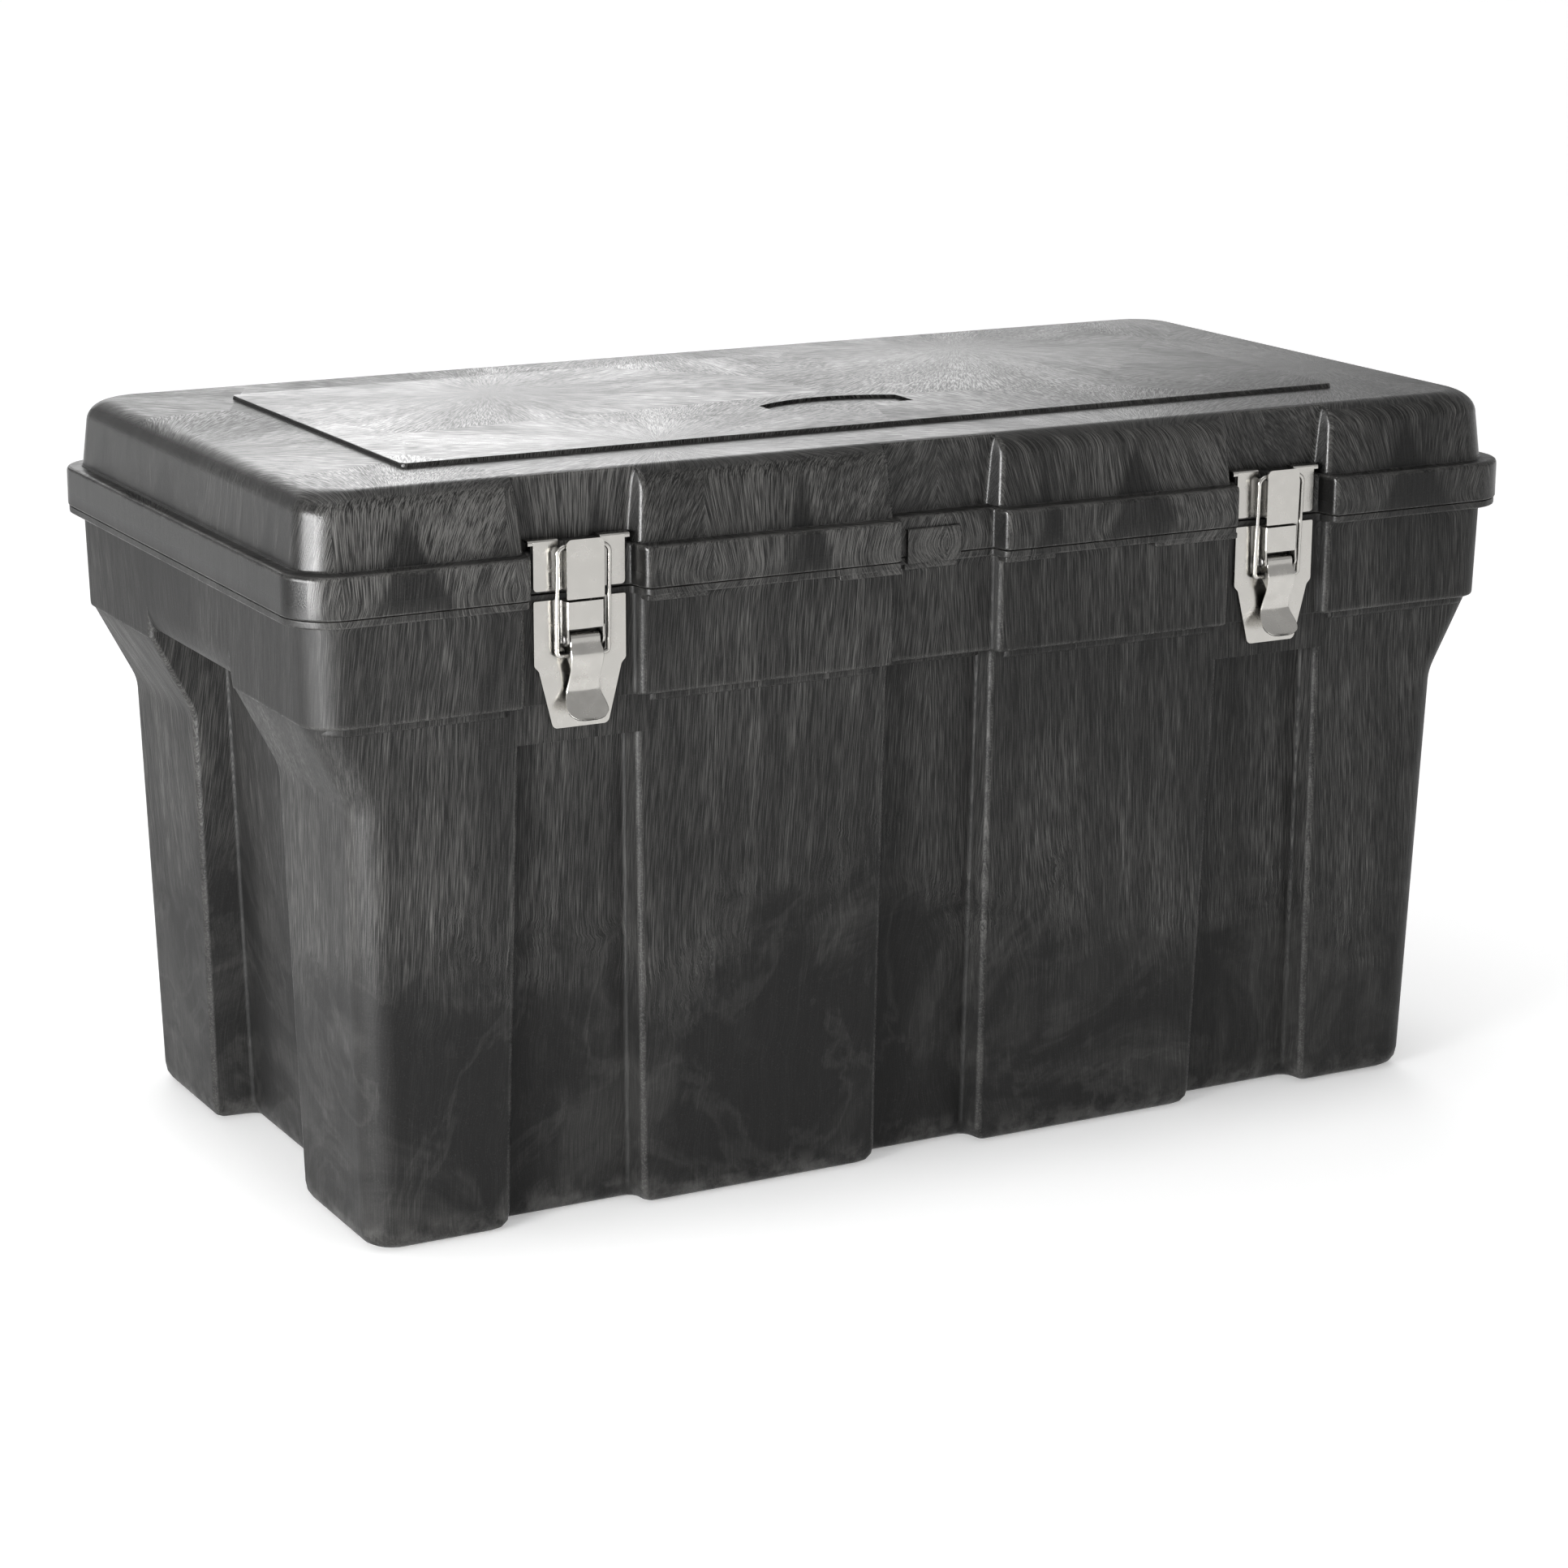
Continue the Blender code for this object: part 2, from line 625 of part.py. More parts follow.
def build_bail(name, x, material, lever):
    """The wire loop that the lever pulls down behind the tongue."""
    curve = bpy.data.curves.new(name, "CURVE")
    curve.dimensions = "3D"
    curve.bevel_depth = WIRE_RADIUS
    curve.bevel_resolution = 2
    curve.use_fill_caps = True
    path = bail_path()
    spline = curve.splines.new("POLY")
    spline.points.add(len(path) - 1)
    rise = SADDLE_Z + WIRE_RADIUS + GAP - BAIL_PIVOT[1]
    lean = math.atan2(BAIL_BAR_OUT - BAIL_PIVOT[0], rise)
    for point, (across, along) in zip(spline.points, path):
        place = (across, -along * math.sin(lean), along * math.cos(lean))
        point.co = (*place, 1.0)
    curve.materials.append(material)
    bail = bpy.data.objects.new(name, curve)
    bpy.context.scene.collection.objects.link(bail)
    bail.parent = lever
    bail.location = Vector((x, -PAD_Y - BAIL_PIVOT[0], BAIL_PIVOT[1])) - world_origin(lever)
    return bail


def build_lever_pin(name, x, material):
    """The rivet that the lever turns on, headed outside both ears."""
    out, z = LEVER_PIVOT
    bm = bmesh.new()
    latch_prism(bm, circle((out, z), LEVER_PIN_RADIUS, 12), "x", -0.0123, 0.0123, x)
    pin = add_object(name, bm, material, (x, -PAD_Y - out, z))
    heads = bmesh.new()
    for side in (-1, 1):
        low, high = sorted((side * (0.01125 + GAP), side * 0.0126))
        latch_prism(heads, circle((out, z), LEVER_PIN_HEAD_RADIUS, 12), "x", low, high, x)
    combine(pin, heads, "UNION")
    return pin


def build_rivet(name, place, outer, inner, material, parent=None):
    """A rivet set from inside: outer and inner are the faces it clamps, as distances from y = 0."""
    x, z = place
    bm = bmesh.new()
    prism(bm, circle((x, z), RIVET_RADIUS, 12), "y", -outer - 0.0010, -inner + 0.0008)
    origin = parent.location if parent else (x, -outer, z)
    rivet = add_object(name, bm, material, origin, parent)
    heads = bmesh.new()
    head, tail = circle(place, RIVET_HEAD_RADIUS, 12), circle(place, RIVET_TAIL_RADIUS, 12)
    prism(heads, head, "y", -outer - RIVET_HEAD_HEIGHT, -outer - GAP)
    prism(heads, tail, "y", -inner + GAP, -inner + 0.0012)
    combine(rivet, heads, "UNION")
    return rivet


def build_latch(side, x, steel, rivet_steel, lid_axis):
    build_strike(f"strike_plate_{side}", x, steel, lid_axis)
    build_base(f"latch_base_{side}", x, steel)
    lever = build_lever(f"lever_{side}", x, steel)
    build_bail(f"bail_{side}", x, steel, lever)
    build_lever_pin(f"lever_pin_{side}", x, rivet_steel)
    strike_outer = PAD_Y + 0.0013
    for tag, place in zip(("outer", "inner"), strike_rivet_places(x)):
        name = f"strike_rivet_{side}_{tag}"
        build_rivet(name, place, strike_outer, STRIKE_INNER_FACE, rivet_steel, lid_axis)
    for tag, place in zip(("upper", "lower"), base_rivet_places(x)):
        name = f"base_rivet_{side}_{tag}"
        build_rivet(name, place, PAD_Y + GAP + SHEET, BASE_INNER_FACE, rivet_steel)


def main():
    clear_scene()
    plastic = make_material("charcoal_plastic", (0.032, 0.032, 0.031), 0.42, 0.0)
    steel = make_material("nickel_steel", (0.76, 0.74, 0.71), 0.22, 1.0)
    rivet_steel = make_material("rivet_steel", (0.60, 0.59, 0.58), 0.34, 1.0)
    build_body(plastic)
    lid_axis = add_empty("lid_axis", (0.0, HINGE_Y, HINGE_Z))
    build_lid(plastic, lid_axis)
    for side, x in (("left", -LATCH_X), ("right", LATCH_X)):
        build_hinge_pin(f"hinge_pin_{side}", x, rivet_steel)
        build_latch(side, x, steel, rivet_steel, lid_axis)


main()
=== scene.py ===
"""Looks for a moulded plastic footlocker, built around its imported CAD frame.

Metres, +Z up. +X runs along the length, the latches face -Y and the base rests on z = 0.
"""

import math

import bmesh
import bpy
import numpy as np
from mathutils import Matrix, Vector


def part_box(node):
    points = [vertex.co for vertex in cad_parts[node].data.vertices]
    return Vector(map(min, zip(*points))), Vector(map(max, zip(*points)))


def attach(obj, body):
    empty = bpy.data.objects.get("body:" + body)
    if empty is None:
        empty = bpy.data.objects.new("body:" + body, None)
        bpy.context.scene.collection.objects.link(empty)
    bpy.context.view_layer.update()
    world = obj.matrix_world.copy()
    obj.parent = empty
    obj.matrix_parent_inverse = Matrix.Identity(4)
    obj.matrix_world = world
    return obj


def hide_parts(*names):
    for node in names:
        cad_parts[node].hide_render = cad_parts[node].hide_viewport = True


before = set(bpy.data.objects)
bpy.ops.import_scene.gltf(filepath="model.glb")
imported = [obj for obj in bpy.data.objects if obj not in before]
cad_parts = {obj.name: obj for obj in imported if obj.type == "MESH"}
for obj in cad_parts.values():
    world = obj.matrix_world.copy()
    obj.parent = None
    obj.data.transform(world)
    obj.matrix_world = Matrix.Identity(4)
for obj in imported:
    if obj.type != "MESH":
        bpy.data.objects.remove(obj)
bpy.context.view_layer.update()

# ---------------------------------------------------------------- sizes, as in the CAD
# A "half" is measured from the middle of the object or of a recess, and a "back" from the
# object's middle to the recess floor.
HALF_LENGTH, HALF_DEPTH = 0.395, 0.1985
BASE_HALF = (0.3525, 0.175)
KNEE_HALF_LENGTH = 0.3595
SHOULDER_HALF = (0.385, 0.190)
UNDER_SHOULDER_HALF_DEPTH = 0.1825
KNEE_Z, PAD_FOOT_Z, SHOULDER_Z = 0.257, 0.2825, 0.3045
FLANGE_Z, SEAM_Z, LIP_Z, RIM_Z = 0.361, 0.3652, 0.371, 0.389
LID_TOP_Z, PANEL_Z = 0.430, 0.4325
WALL, GAP = 0.005, 0.0003
CORNER, CASE_CORNER, BASE_ROUND = 0.027, 0.018, 0.012
LATCH_X, PAD_Y, PAD_HALF, END_HALF, CENTRE_HALF = 0.228, 0.1835, 0.0345, 0.066, 0.0335
FOOT_PAD_HALF, FOOT_CENTRE_HALF, FOOT_END_HALF = 0.041, 0.0345, 0.072
FOOT_RECESS_BACK, UPPER_RECESS_BACK, FOOT_END_BACK = 0.160, 0.1705, 0.328
FLANGE_SET_BACK, RIM_SET_BACK, RIM_PAD_BACK = 0.186, 0.1865, 0.183
SEAT_INSET, SEAT_BACKS = 0.006, (0.177, 0.1805)
GRIP_LIP_Z, GRIP_BACK, POCKET_TOP_Z, POCKET_FRONT = 0.3085, 0.339, 0.338, 0.3765
LID_WALL_HALF, LID_ROUND, LID_DRAFT = (0.387, 0.189), 0.014, 0.0025
LID_RECESS_BACK, LID_RECESS_HALVES = 0.177, (0.034, 0.037)
PANEL_HALF, BADGE_HALF, BADGE_DEPTH = (0.307, 0.130), 0.046, 0.002
BOSS_TOP_Z = 0.3935
HINGE_Y, HINGE_Z, KNUCKLE_RADIUS = 0.2005, 0.36535, 0.0065
HINGE_PIN_RADIUS, KNUCKLE_HALF, KNUCKLE_END = 0.0025, 0.0135, 0.028

# Latches. "Out" is the distance outward from the pad at y = -PAD_Y.
SHEET, LEVER_SHEET, WIRE_RADIUS = 0.0012, 0.0014, 0.0013
STRIKE_Z, SADDLE_Z, EAR_TOP_Z, TONGUE_BOTTOM_Z, TONGUE_TOP_Z = 0.3673, 0.3898, 0.3942, 0.3628, 0.3955
PLATE_HALF, PLATE_TOP_Z, PLATE_BOTTOM_Z, BRIDGE_Z = 0.0275, 0.3619, 0.2905, 0.3465
LEVER_PIVOT, BAIL_PIVOT, BAIL_BAR_OUT = (0.0055, 0.3405), (0.0046, 0.3313), 0.0065
LEVER_PIN_RADIUS, LEVER_PIN_HEAD_RADIUS, LEVER_PIN_HALF = 0.0013, 0.0023, 0.0126
BAIL_HALF, BAIL_BEND, BAIL_END, WIRE_SIDES = 0.01545, 0.0045, 0.0070, 14
RIVET_RADIUS, RIVET_HEAD_RADIUS, RIVET_TAIL_RADIUS = 0.0020, 0.0029, 0.0034
STRIKE_RIVET_ACROSS, STRIKE_RIVET_Z, BASE_RIVET_ZS = 0.005, 0.377, (0.354, 0.315)
STRIKE_INNER_FACE, BASE_INNER_FACE = 0.178, 0.172

# How far recess walls lean, the recess depth that takes the full lean, and how far their edges are rounded.
RECESS_OUT, RECESS_IN, FULL_LEAN_DEPTH = 0.0009, 0.0020, 0.012
EDGE_RADIUS, FOOT_RADIUS = 0.0038, 0.0026
# Where the small pads under the front flange start and stop, along x.
FLANGE_PADS = ((-0.0740, -0.0340), (0.0340, 0.0674), (0.1355, 0.1930), (-0.1930, -0.1560))
CORNER_STEPS, EDGE_STEPS, ROUND_STEPS = 9, 4, 4
# Curvature, in 1/m, at which edge wear and its painted glints start and are full.
WEAR_GLINT_FROM, WEAR_GLINT_FULL = 40.0, 220.0

# One level of a shell: its height, half sizes, corner radius and recesses.
FIELDS = "z a b corner latch_half latch_back hinge_half hinge_back"
FIELDS += " centre_half centre_back end_half end_back edge foot"
INDEX = {name: i for i, name in enumerate(FIELDS.split())}
BACKS = [INDEX[n] for n in ("latch_back", "hinge_back", "centre_back", "end_back")]
HALVES = [INDEX[n] for n in ("latch_half", "hinge_half", "centre_half", "end_half")]


def mix(start, stop, share):
    return start + (stop - start) * share


# ---------------------------------------------------------------- shells
def level(z, a, b, corner, latch, hinge, centre, end, edge=EDGE_RADIUS, foot=FOOT_RADIUS):
    return np.array([z, a, b, corner, *latch, *hinge, *centre, *end, edge, foot])


def changed(vector, **fields):
    made = vector.copy()
    for name, value in fields.items():
        made[INDEX[name]] = value
    return made


def inset(vector, amount):
    """The same level with every face moved into the material by amount."""
    made = vector.copy()
    made[[INDEX["a"], INDEX["b"]]] -= amount
    made[BACKS] -= amount
    made[HALVES] += amount
    made[INDEX["corner"]] = max(made[INDEX["corner"]] - amount, 0.003)
    made[INDEX["edge"]] = max(made[INDEX["edge"]] - amount, 0.0008)
    made[INDEX["foot"]] += amount
    return made


def fillet(before, corner, after, radius, steps):
    """Points that round one corner of an outline; the count never changes."""
    to_before, to_after = before - corner, after - corner
    room = min(np.linalg.norm(to_before), np.linalg.norm(to_after))
    if room < 1e-7:
        return [corner] * (steps + 1)
    u = to_before / np.linalg.norm(to_before)
    v = to_after / np.linalg.norm(to_after)
    half = math.acos(max(-1.0, min(1.0, float(u @ v)))) / 2
    if half > math.pi / 2 - 1e-4:
        return [corner] * (steps + 1)
    cut = min(radius / math.tan(half), 0.49 * room)
    radius = cut * math.tan(half)
    centre = corner + (u + v) / np.linalg.norm(u + v) * (radius / math.sin(half))
    start, stop = corner + u * cut - centre, corner + v * cut - centre
    sweep = math.pi - 2 * half
    made = []
    for k in range(steps + 1):
        t = k / steps
        turned_by = start * math.sin((1 - t) * sweep) + stop * math.sin(t * sweep)
        made.append(centre + turned_by / math.sin(sweep))
    return made


def ring(vector):
    """One closed outline of a shell, counter-clockwise from above."""
    z, a, b, corner, lh, lb, hh, hb, ch, cb, eh, eb, edge, foot = vector

    def side(recesses):
        made = []
        for middle, half, depth in recesses:
            depth = max(depth, 0.0)
            lean = min(1.0, depth / FULL_LEAN_DEPTH) * RECESS_IN
            made += [(middle - half - RECESS_OUT, 0.0, edge), (middle - half + lean, depth, foot)]
            made += [(middle + half - lean, depth, foot), (middle + half + RECESS_OUT, 0.0, edge)]
        return made

    def long_side(half, back):
        return side([(-LATCH_X, half, b - back), (0.0, ch, b - cb), (LATCH_X, half, b - back)])

    ends = side([(0.0, eh, a - eb)])
    points = [(s, d - b, r, EDGE_STEPS) for s, d, r in long_side(lh, lb)]
    points.append((a, -b, corner, CORNER_STEPS))
    points += [(a - d, s, r, EDGE_STEPS) for s, d, r in ends]
    points.append((a, b, corner, CORNER_STEPS))
    points += [(-s, b - d, r, EDGE_STEPS) for s, d, r in long_side(hh, hb)]
    points.append((-a, b, corner, CORNER_STEPS))
    points += [(d - a, -s, r, EDGE_STEPS) for s, d, r in ends]
    points.append((-a, -b, corner, CORNER_STEPS))
    made = []
    for i, (x, y, r, steps) in enumerate(points):
        before, after = points[i - 1], points[(i + 1) % len(points)]
        made += fillet(np.array(before[:2]), np.array((x, y)), np.array(after[:2]), r, steps)
    return [(p[0], p[1], z) for p in made]


def soften(keys):
    """Levels through (level, radius) keys, with each key's bend rounded over its radius."""
    sizes = [INDEX["z"], INDEX["a"], INDEX["b"], *BACKS]
    made = [keys[0][0]]
    for i in range(1, len(keys) - 1):
        here, radius = keys[i]
        steps = []
        for other in (keys[i - 1][0], keys[i + 1][0]):
            length = float(np.abs((other - here)[sizes]).max())
            steps.append((other - here) * min(radius, 0.48 * length) / max(length, 1e-9))
        for k in range(ROUND_STEPS + 1):
            t = k / ROUND_STEPS
            made.append(here + steps[0] * (1 - t) ** 2 + steps[1] * t ** 2)
    return made + [keys[-1][0]]


def bridge(bm, rings):
    """New faces from each ring of vertices to the next."""
    faces = []
    for first, second in zip(rings, rings[1:]):
        for i, vertex in enumerate(first):
            after = (i + 1) % len(first)
            faces.append(bm.faces.new((vertex, first[after], second[after], second[i])))
    return faces


def loft(levels):
    bm = bmesh.new()
    rings = [[bm.verts.new(p) for p in ring(vector)] for vector in levels]
    bridge(bm, rings)
    bm.faces.new(reversed(rings[0]))
    bm.faces.new(rings[-1])
    bmesh.ops.remove_doubles(bm, verts=bm.verts[:], dist=0.00003)
    bmesh.ops.dissolve_degenerate(bm, edges=bm.edges[:], dist=0.00001)
    return bm


def lower_level(z):
    share = z / SHOULDER_Z
    half_y = mix(BASE_HALF[1], UNDER_SHOULDER_HALF_DEPTH, share)
    if z <= KNEE_Z:
        half_x = mix(BASE_HALF[0], KNEE_HALF_LENGTH, z / KNEE_Z)
    else:
        half_x = mix(KNEE_HALF_LENGTH, SHOULDER_HALF[0] - 0.0008, (z - KNEE_Z) / (SHOULDER_Z - KNEE_Z))
    back = mix(FOOT_RECESS_BACK, UPPER_RECESS_BACK, share)
    outer = (mix(FOOT_PAD_HALF, PAD_HALF, share), back)
    centre = (mix(FOOT_CENTRE_HALF, CENTRE_HALF, share), back)
    end = (mix(FOOT_END_HALF, END_HALF, share), mix(FOOT_END_BACK, GRIP_BACK, share))
    return level(z, half_x, half_y, CASE_CORNER, outer, outer, centre, end)


def with_pads(vector):
    return changed(vector, latch_back=PAD_Y, hinge_back=PAD_Y)


def shoulder_level(z, end_back):
    share = (z - SHOULDER_Z) / (FLANGE_Z - SHOULDER_Z)
    half_x = mix(SHOULDER_HALF[0], SHOULDER_HALF[0] + 0.0015, share)
    half_y = mix(SHOULDER_HALF[1], SHOULDER_HALF[1] + 0.0005, share)
    pad = (PAD_HALF, PAD_Y)
    return level(z, half_x, half_y, CASE_CORNER + 0.004, pad, pad, pad, (END_HALF, min(end_back, half_x)))


def flange_level(z):
    a, b = HALF_LENGTH - 0.0005, HALF_DEPTH - 0.0005
    set_back = (CENTRE_HALF, FLANGE_SET_BACK)
    return level(z, a, b, CORNER, (PAD_HALF, PAD_Y), set_back, set_back, (END_HALF, a))


def seat_level(z):
    """The upstanding lip that the lid closes over."""
    a, b = HALF_LENGTH - SEAT_INSET, HALF_DEPTH - SEAT_INSET
    latch, other = ((PAD_HALF + WALL, back) for back in SEAT_BACKS)
    return level(z, a, b, CORNER - SEAT_INSET, latch, other, other, (END_HALF, a))


def inner_upper_level(z, end_back):
    recess = (PAD_HALF + 0.008, BASE_INNER_FACE)
    a, b = SHOULDER_HALF[0] - WALL, SHOULDER_HALF[1] - WALL
    return level(z, a, b, CASE_CORNER, recess, recess, recess, (END_HALF + WALL, min(end_back, a)))


def body_levels():
    """The body's moulding from its underside up the outside, over the lip and down the inside."""
    base = lower_level(0.0)
    inner_back = GRIP_BACK - WALL
    low = SHOULDER_Z - WALL
    above_pocket = POCKET_TOP_Z + 0.007
    keys = [
        (inset(base, 2 * BASE_ROUND), 0.0),
        (base, BASE_ROUND),
        (lower_level(KNEE_Z), 0.006),
        (lower_level(PAD_FOOT_Z), 0.0010),
        (with_pads(lower_level(PAD_FOOT_Z)), 0.0014),
        (with_pads(lower_level(SHOULDER_Z)), 0.0012),
        (shoulder_level(SHOULDER_Z, GRIP_BACK), 0.0028),
        (shoulder_level(GRIP_LIP_Z, GRIP_BACK), 0.0006),
        (shoulder_level(GRIP_LIP_Z, SHOULDER_HALF[0] - 0.006), 0.002),
        (shoulder_level(GRIP_LIP_Z + 0.0035, SHOULDER_HALF[0] - 0.0025), 0.003),
        (shoulder_level(GRIP_LIP_Z + 0.012, HALF_LENGTH), 0.005),
        (shoulder_level(FLANGE_Z, HALF_LENGTH), 0.0008),
        (flange_level(FLANGE_Z), 0.0012),
        (flange_level(SEAM_Z), 0.0006),
        (seat_level(SEAM_Z), 0.0006),
        (seat_level(LIP_Z), 0.0010),
        (inner_upper_level(LIP_Z, HALF_LENGTH), 0.0010),
        (inner_upper_level(above_pocket, HALF_LENGTH), 0.002),
        (inner_upper_level(above_pocket, inner_back), 0.002),
        (inner_upper_level(low, inner_back), 0.002),
        (inset(lower_level(low), WALL), 0.002),
        (inset(lower_level(KNEE_Z), WALL), 0.006),
        (inset(lower_level(WALL), WALL), 0.010),
        (inset(lower_level(WALL), WALL + 2 * BASE_ROUND), 0.0),
    ]
    return soften(keys)


def rim_level(z, amount=0.0):
    pad, set_back = (CENTRE_HALF, RIM_PAD_BACK), (CENTRE_HALF, RIM_SET_BACK)
    made = level(z, HALF_LENGTH, HALF_DEPTH, CORNER, pad, set_back, set_back, (END_HALF, HALF_LENGTH))
    made = inset(made, amount)
    return changed(made, end_half=END_HALF, end_back=made[INDEX["a"]])


def lid_wall_level(z, a, b):
    half = mix(*LID_RECESS_HALVES, (z - RIM_Z) / (LID_TOP_Z - RIM_Z))
    recess = (half, min(LID_RECESS_BACK, b))
    return level(z, a, b, CORNER - 0.004, recess, recess, recess, (END_HALF, a))


def lid_round_level(angle):
    turn = math.radians(angle)
    a, b = (half - LID_DRAFT - LID_ROUND * (1 - math.cos(turn)) for half in LID_WALL_HALF)
    return lid_wall_level(LID_TOP_Z - LID_ROUND * (1 - math.sin(turn)), a, b)


def panel_level(z, amount):
    a, b = PANEL_HALF[0] - amount, PANEL_HALF[1] - amount
    recess = (LID_RECESS_HALVES[0], b)
    return level(z, a, b, 0.004, recess, recess, recess, (END_HALF, a))


def inner_lid_level(z, amount):
    a, b = LID_WALL_HALF[0] - amount, LID_WALL_HALF[1] - amount
    recess = (LID_RECESS_HALVES[0] + WALL, min(LID_RECESS_BACK - WALL, b))
    return level(z, a, b, CASE_CORNER, recess, recess, recess, (END_HALF, a))


def lid_levels():
    """The lid's moulding from its ceiling down the inside, up the outside and over the panel."""
    seam = SEAM_Z + GAP
    inner_rim = rim_level(seam, WALL)
    inside = [
        (inner_lid_level(LID_TOP_Z - WALL, WALL + 2.2 * LID_ROUND), 0.0),
        (inner_lid_level(LID_TOP_Z - WALL, WALL + LID_DRAFT), LID_ROUND - 0.004),
        (inner_lid_level(RIM_Z - WALL, WALL), 0.001),
        (changed(inner_rim, z=RIM_Z - WALL), 0.001),
        (inner_rim, 0.0006),
        (rim_level(seam), 0.0012),
        (rim_level(RIM_Z), 0.0030),
        (lid_wall_level(RIM_Z, *LID_WALL_HALF), 0.0016),
    ]
    made = soften(inside + [(lid_round_level(0.0), 0.0)])
    made += [lid_round_level(angle) for angle in range(9, 90, 9)]
    top = [
        (lid_round_level(90.0), 0.0),
        (panel_level(LID_TOP_Z, 0.0), 0.0004),
        (panel_level(PANEL_Z, 0.0004), 0.0007),
        (panel_level(PANEL_Z, 0.020), 0.0),
    ]
    return made + soften(top)


# ---------------------------------------------------------------- mesh tools
def prism(bm, outline_points, axis, low, high):
    index = "xyz".index(axis)
    ends = []
    for along in (low, high):
        points = [Vector(tuple(p[:index]) + (along,) + tuple(p[index:])) for p in outline_points]
        ends.append([bm.verts.new(point) for point in points])
    faces = [bm.faces.new(end) for end in ends]
    bmesh.ops.recalc_face_normals(bm, faces=faces + bridge(bm, ends))


def box(bm, x, y, z):
    prism(bm, [(x[0], y[0]), (x[1], y[0]), (x[1], y[1]), (x[0], y[1])], "z", *z)


def arc(centre, radius, start, stop, steps):
    angles = [math.radians(start + (stop - start) * k / steps) for k in range(steps + 1)]
    return [(centre[0] + radius * math.cos(a), centre[1] + radius * math.sin(a)) for a in angles]


def circle(centre, radius, steps=20):
    return arc(centre, radius, 0.0, 360.0, steps)[:-1]


def rounded_box(bm, x, y, z, radius, segments=3):
    """A box with every edge rounded."""
    made = bmesh.new()
    box(made, x, y, z)
    bmesh.ops.bevel(made, geom=made.edges[:], offset=radius, segments=segments, profile=0.5, affect="EDGES")
    merge_into(bm, made)


def merge_into(bm, other):
    mesh = bpy.data.meshes.new("part")
    other.to_mesh(mesh)
    other.free()
    bm.from_mesh(mesh)
    bpy.data.meshes.remove(mesh)


def in_scene(name, data):
    obj = bpy.data.objects.new(name, data)
    bpy.context.scene.collection.objects.link(obj)
    return obj


def new_object(name, bm):
    mesh = bpy.data.meshes.new(name)
    bm.to_mesh(mesh)
    bm.free()
    return in_scene(name, mesh)


def combined(obj, *steps):
    """obj with each (bmesh, operation) joined or cut by an exact Boolean, as a final mesh."""
    tools = []
    for bm, operation in steps:
        tool = new_object("tool", bm)
        modifier = obj.modifiers.new(operation, "BOOLEAN")
        modifier.operation, modifier.solver, modifier.object = operation, "EXACT", tool
        tools.append(tool)
    bpy.context.view_layer.update()
    evaluated = obj.evaluated_get(bpy.context.evaluated_depsgraph_get())
    mesh = bpy.data.meshes.new_from_object(evaluated)
    obj.modifiers.clear()
    old, obj.data = obj.data, mesh
    bpy.data.meshes.remove(old)
    for tool in tools:
        bpy.data.meshes.remove(tool.data)
    return obj


def shade(obj, angle=32.0):
    obj.data.shade_smooth()
    obj.data.set_sharp_from_angle(angle=math.radians(angle))
    weighted = obj.modifiers.new("Weighted", "WEIGHTED_NORMAL")
    weighted.keep_sharp = True
    weighted.weight = 60
    return obj


def mark_edges(obj):
    """A point attribute that is 1 on tightly rounded outer edges, for the material's edge wear and painted
    edge glints.
    """
    bm = bmesh.new()
    bm.from_mesh(obj.data)
    values = []
    for vertex in bm.verts:
        bend = sum(e.calc_face_angle_signed(0.0) * e.calc_length() / 2 for e in vertex.link_edges)
        area = sum(f.calc_area() / len(f.verts) for f in vertex.link_faces)
        curvature = bend / max(area, 1e-9)
        values.append(min(max((curvature - WEAR_GLINT_FROM) / (WEAR_GLINT_FULL - WEAR_GLINT_FROM), 0.0), 1.0))
    bm.free()
    attribute = obj.data.attributes.new("edge_wear_and_glint", "FLOAT", "POINT")
    attribute.data.foreach_set("value", values)
    return obj


def finish_piece(obj, body, slot, material, *nodes):
    obj.data.materials.clear()
    obj.data.materials.append(material)
    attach(obj, body)
    if nodes:
        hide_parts(*nodes)
    return obj


def knuckle_outline(above):
    """A hinge knuckle's (y, z) outline: an arm from the wall that runs into a round end above or below."""
    sign = 1.0 if above else -1.0
    arm_z = HINGE_Z + sign * 0.0007
    near_y = PAD_Y - 0.0015
    round_part = arc((HINGE_Y, HINGE_Z), KNUCKLE_RADIUS, 180.0, 180.0 + sign * 270.0, 30)
    round_part[0] = (round_part[0][0], arm_z)
    return [(near_y, arm_z), *round_part, (near_y, round_part[-1][1])]


def cut_hinge_bore(cuts, x):
    bore = circle((HINGE_Y, HINGE_Z), HINGE_PIN_RADIUS + GAP, 32)
    prism(cuts, bore, "x", x - KNUCKLE_END - 0.002, x + KNUCKLE_END + 0.002)


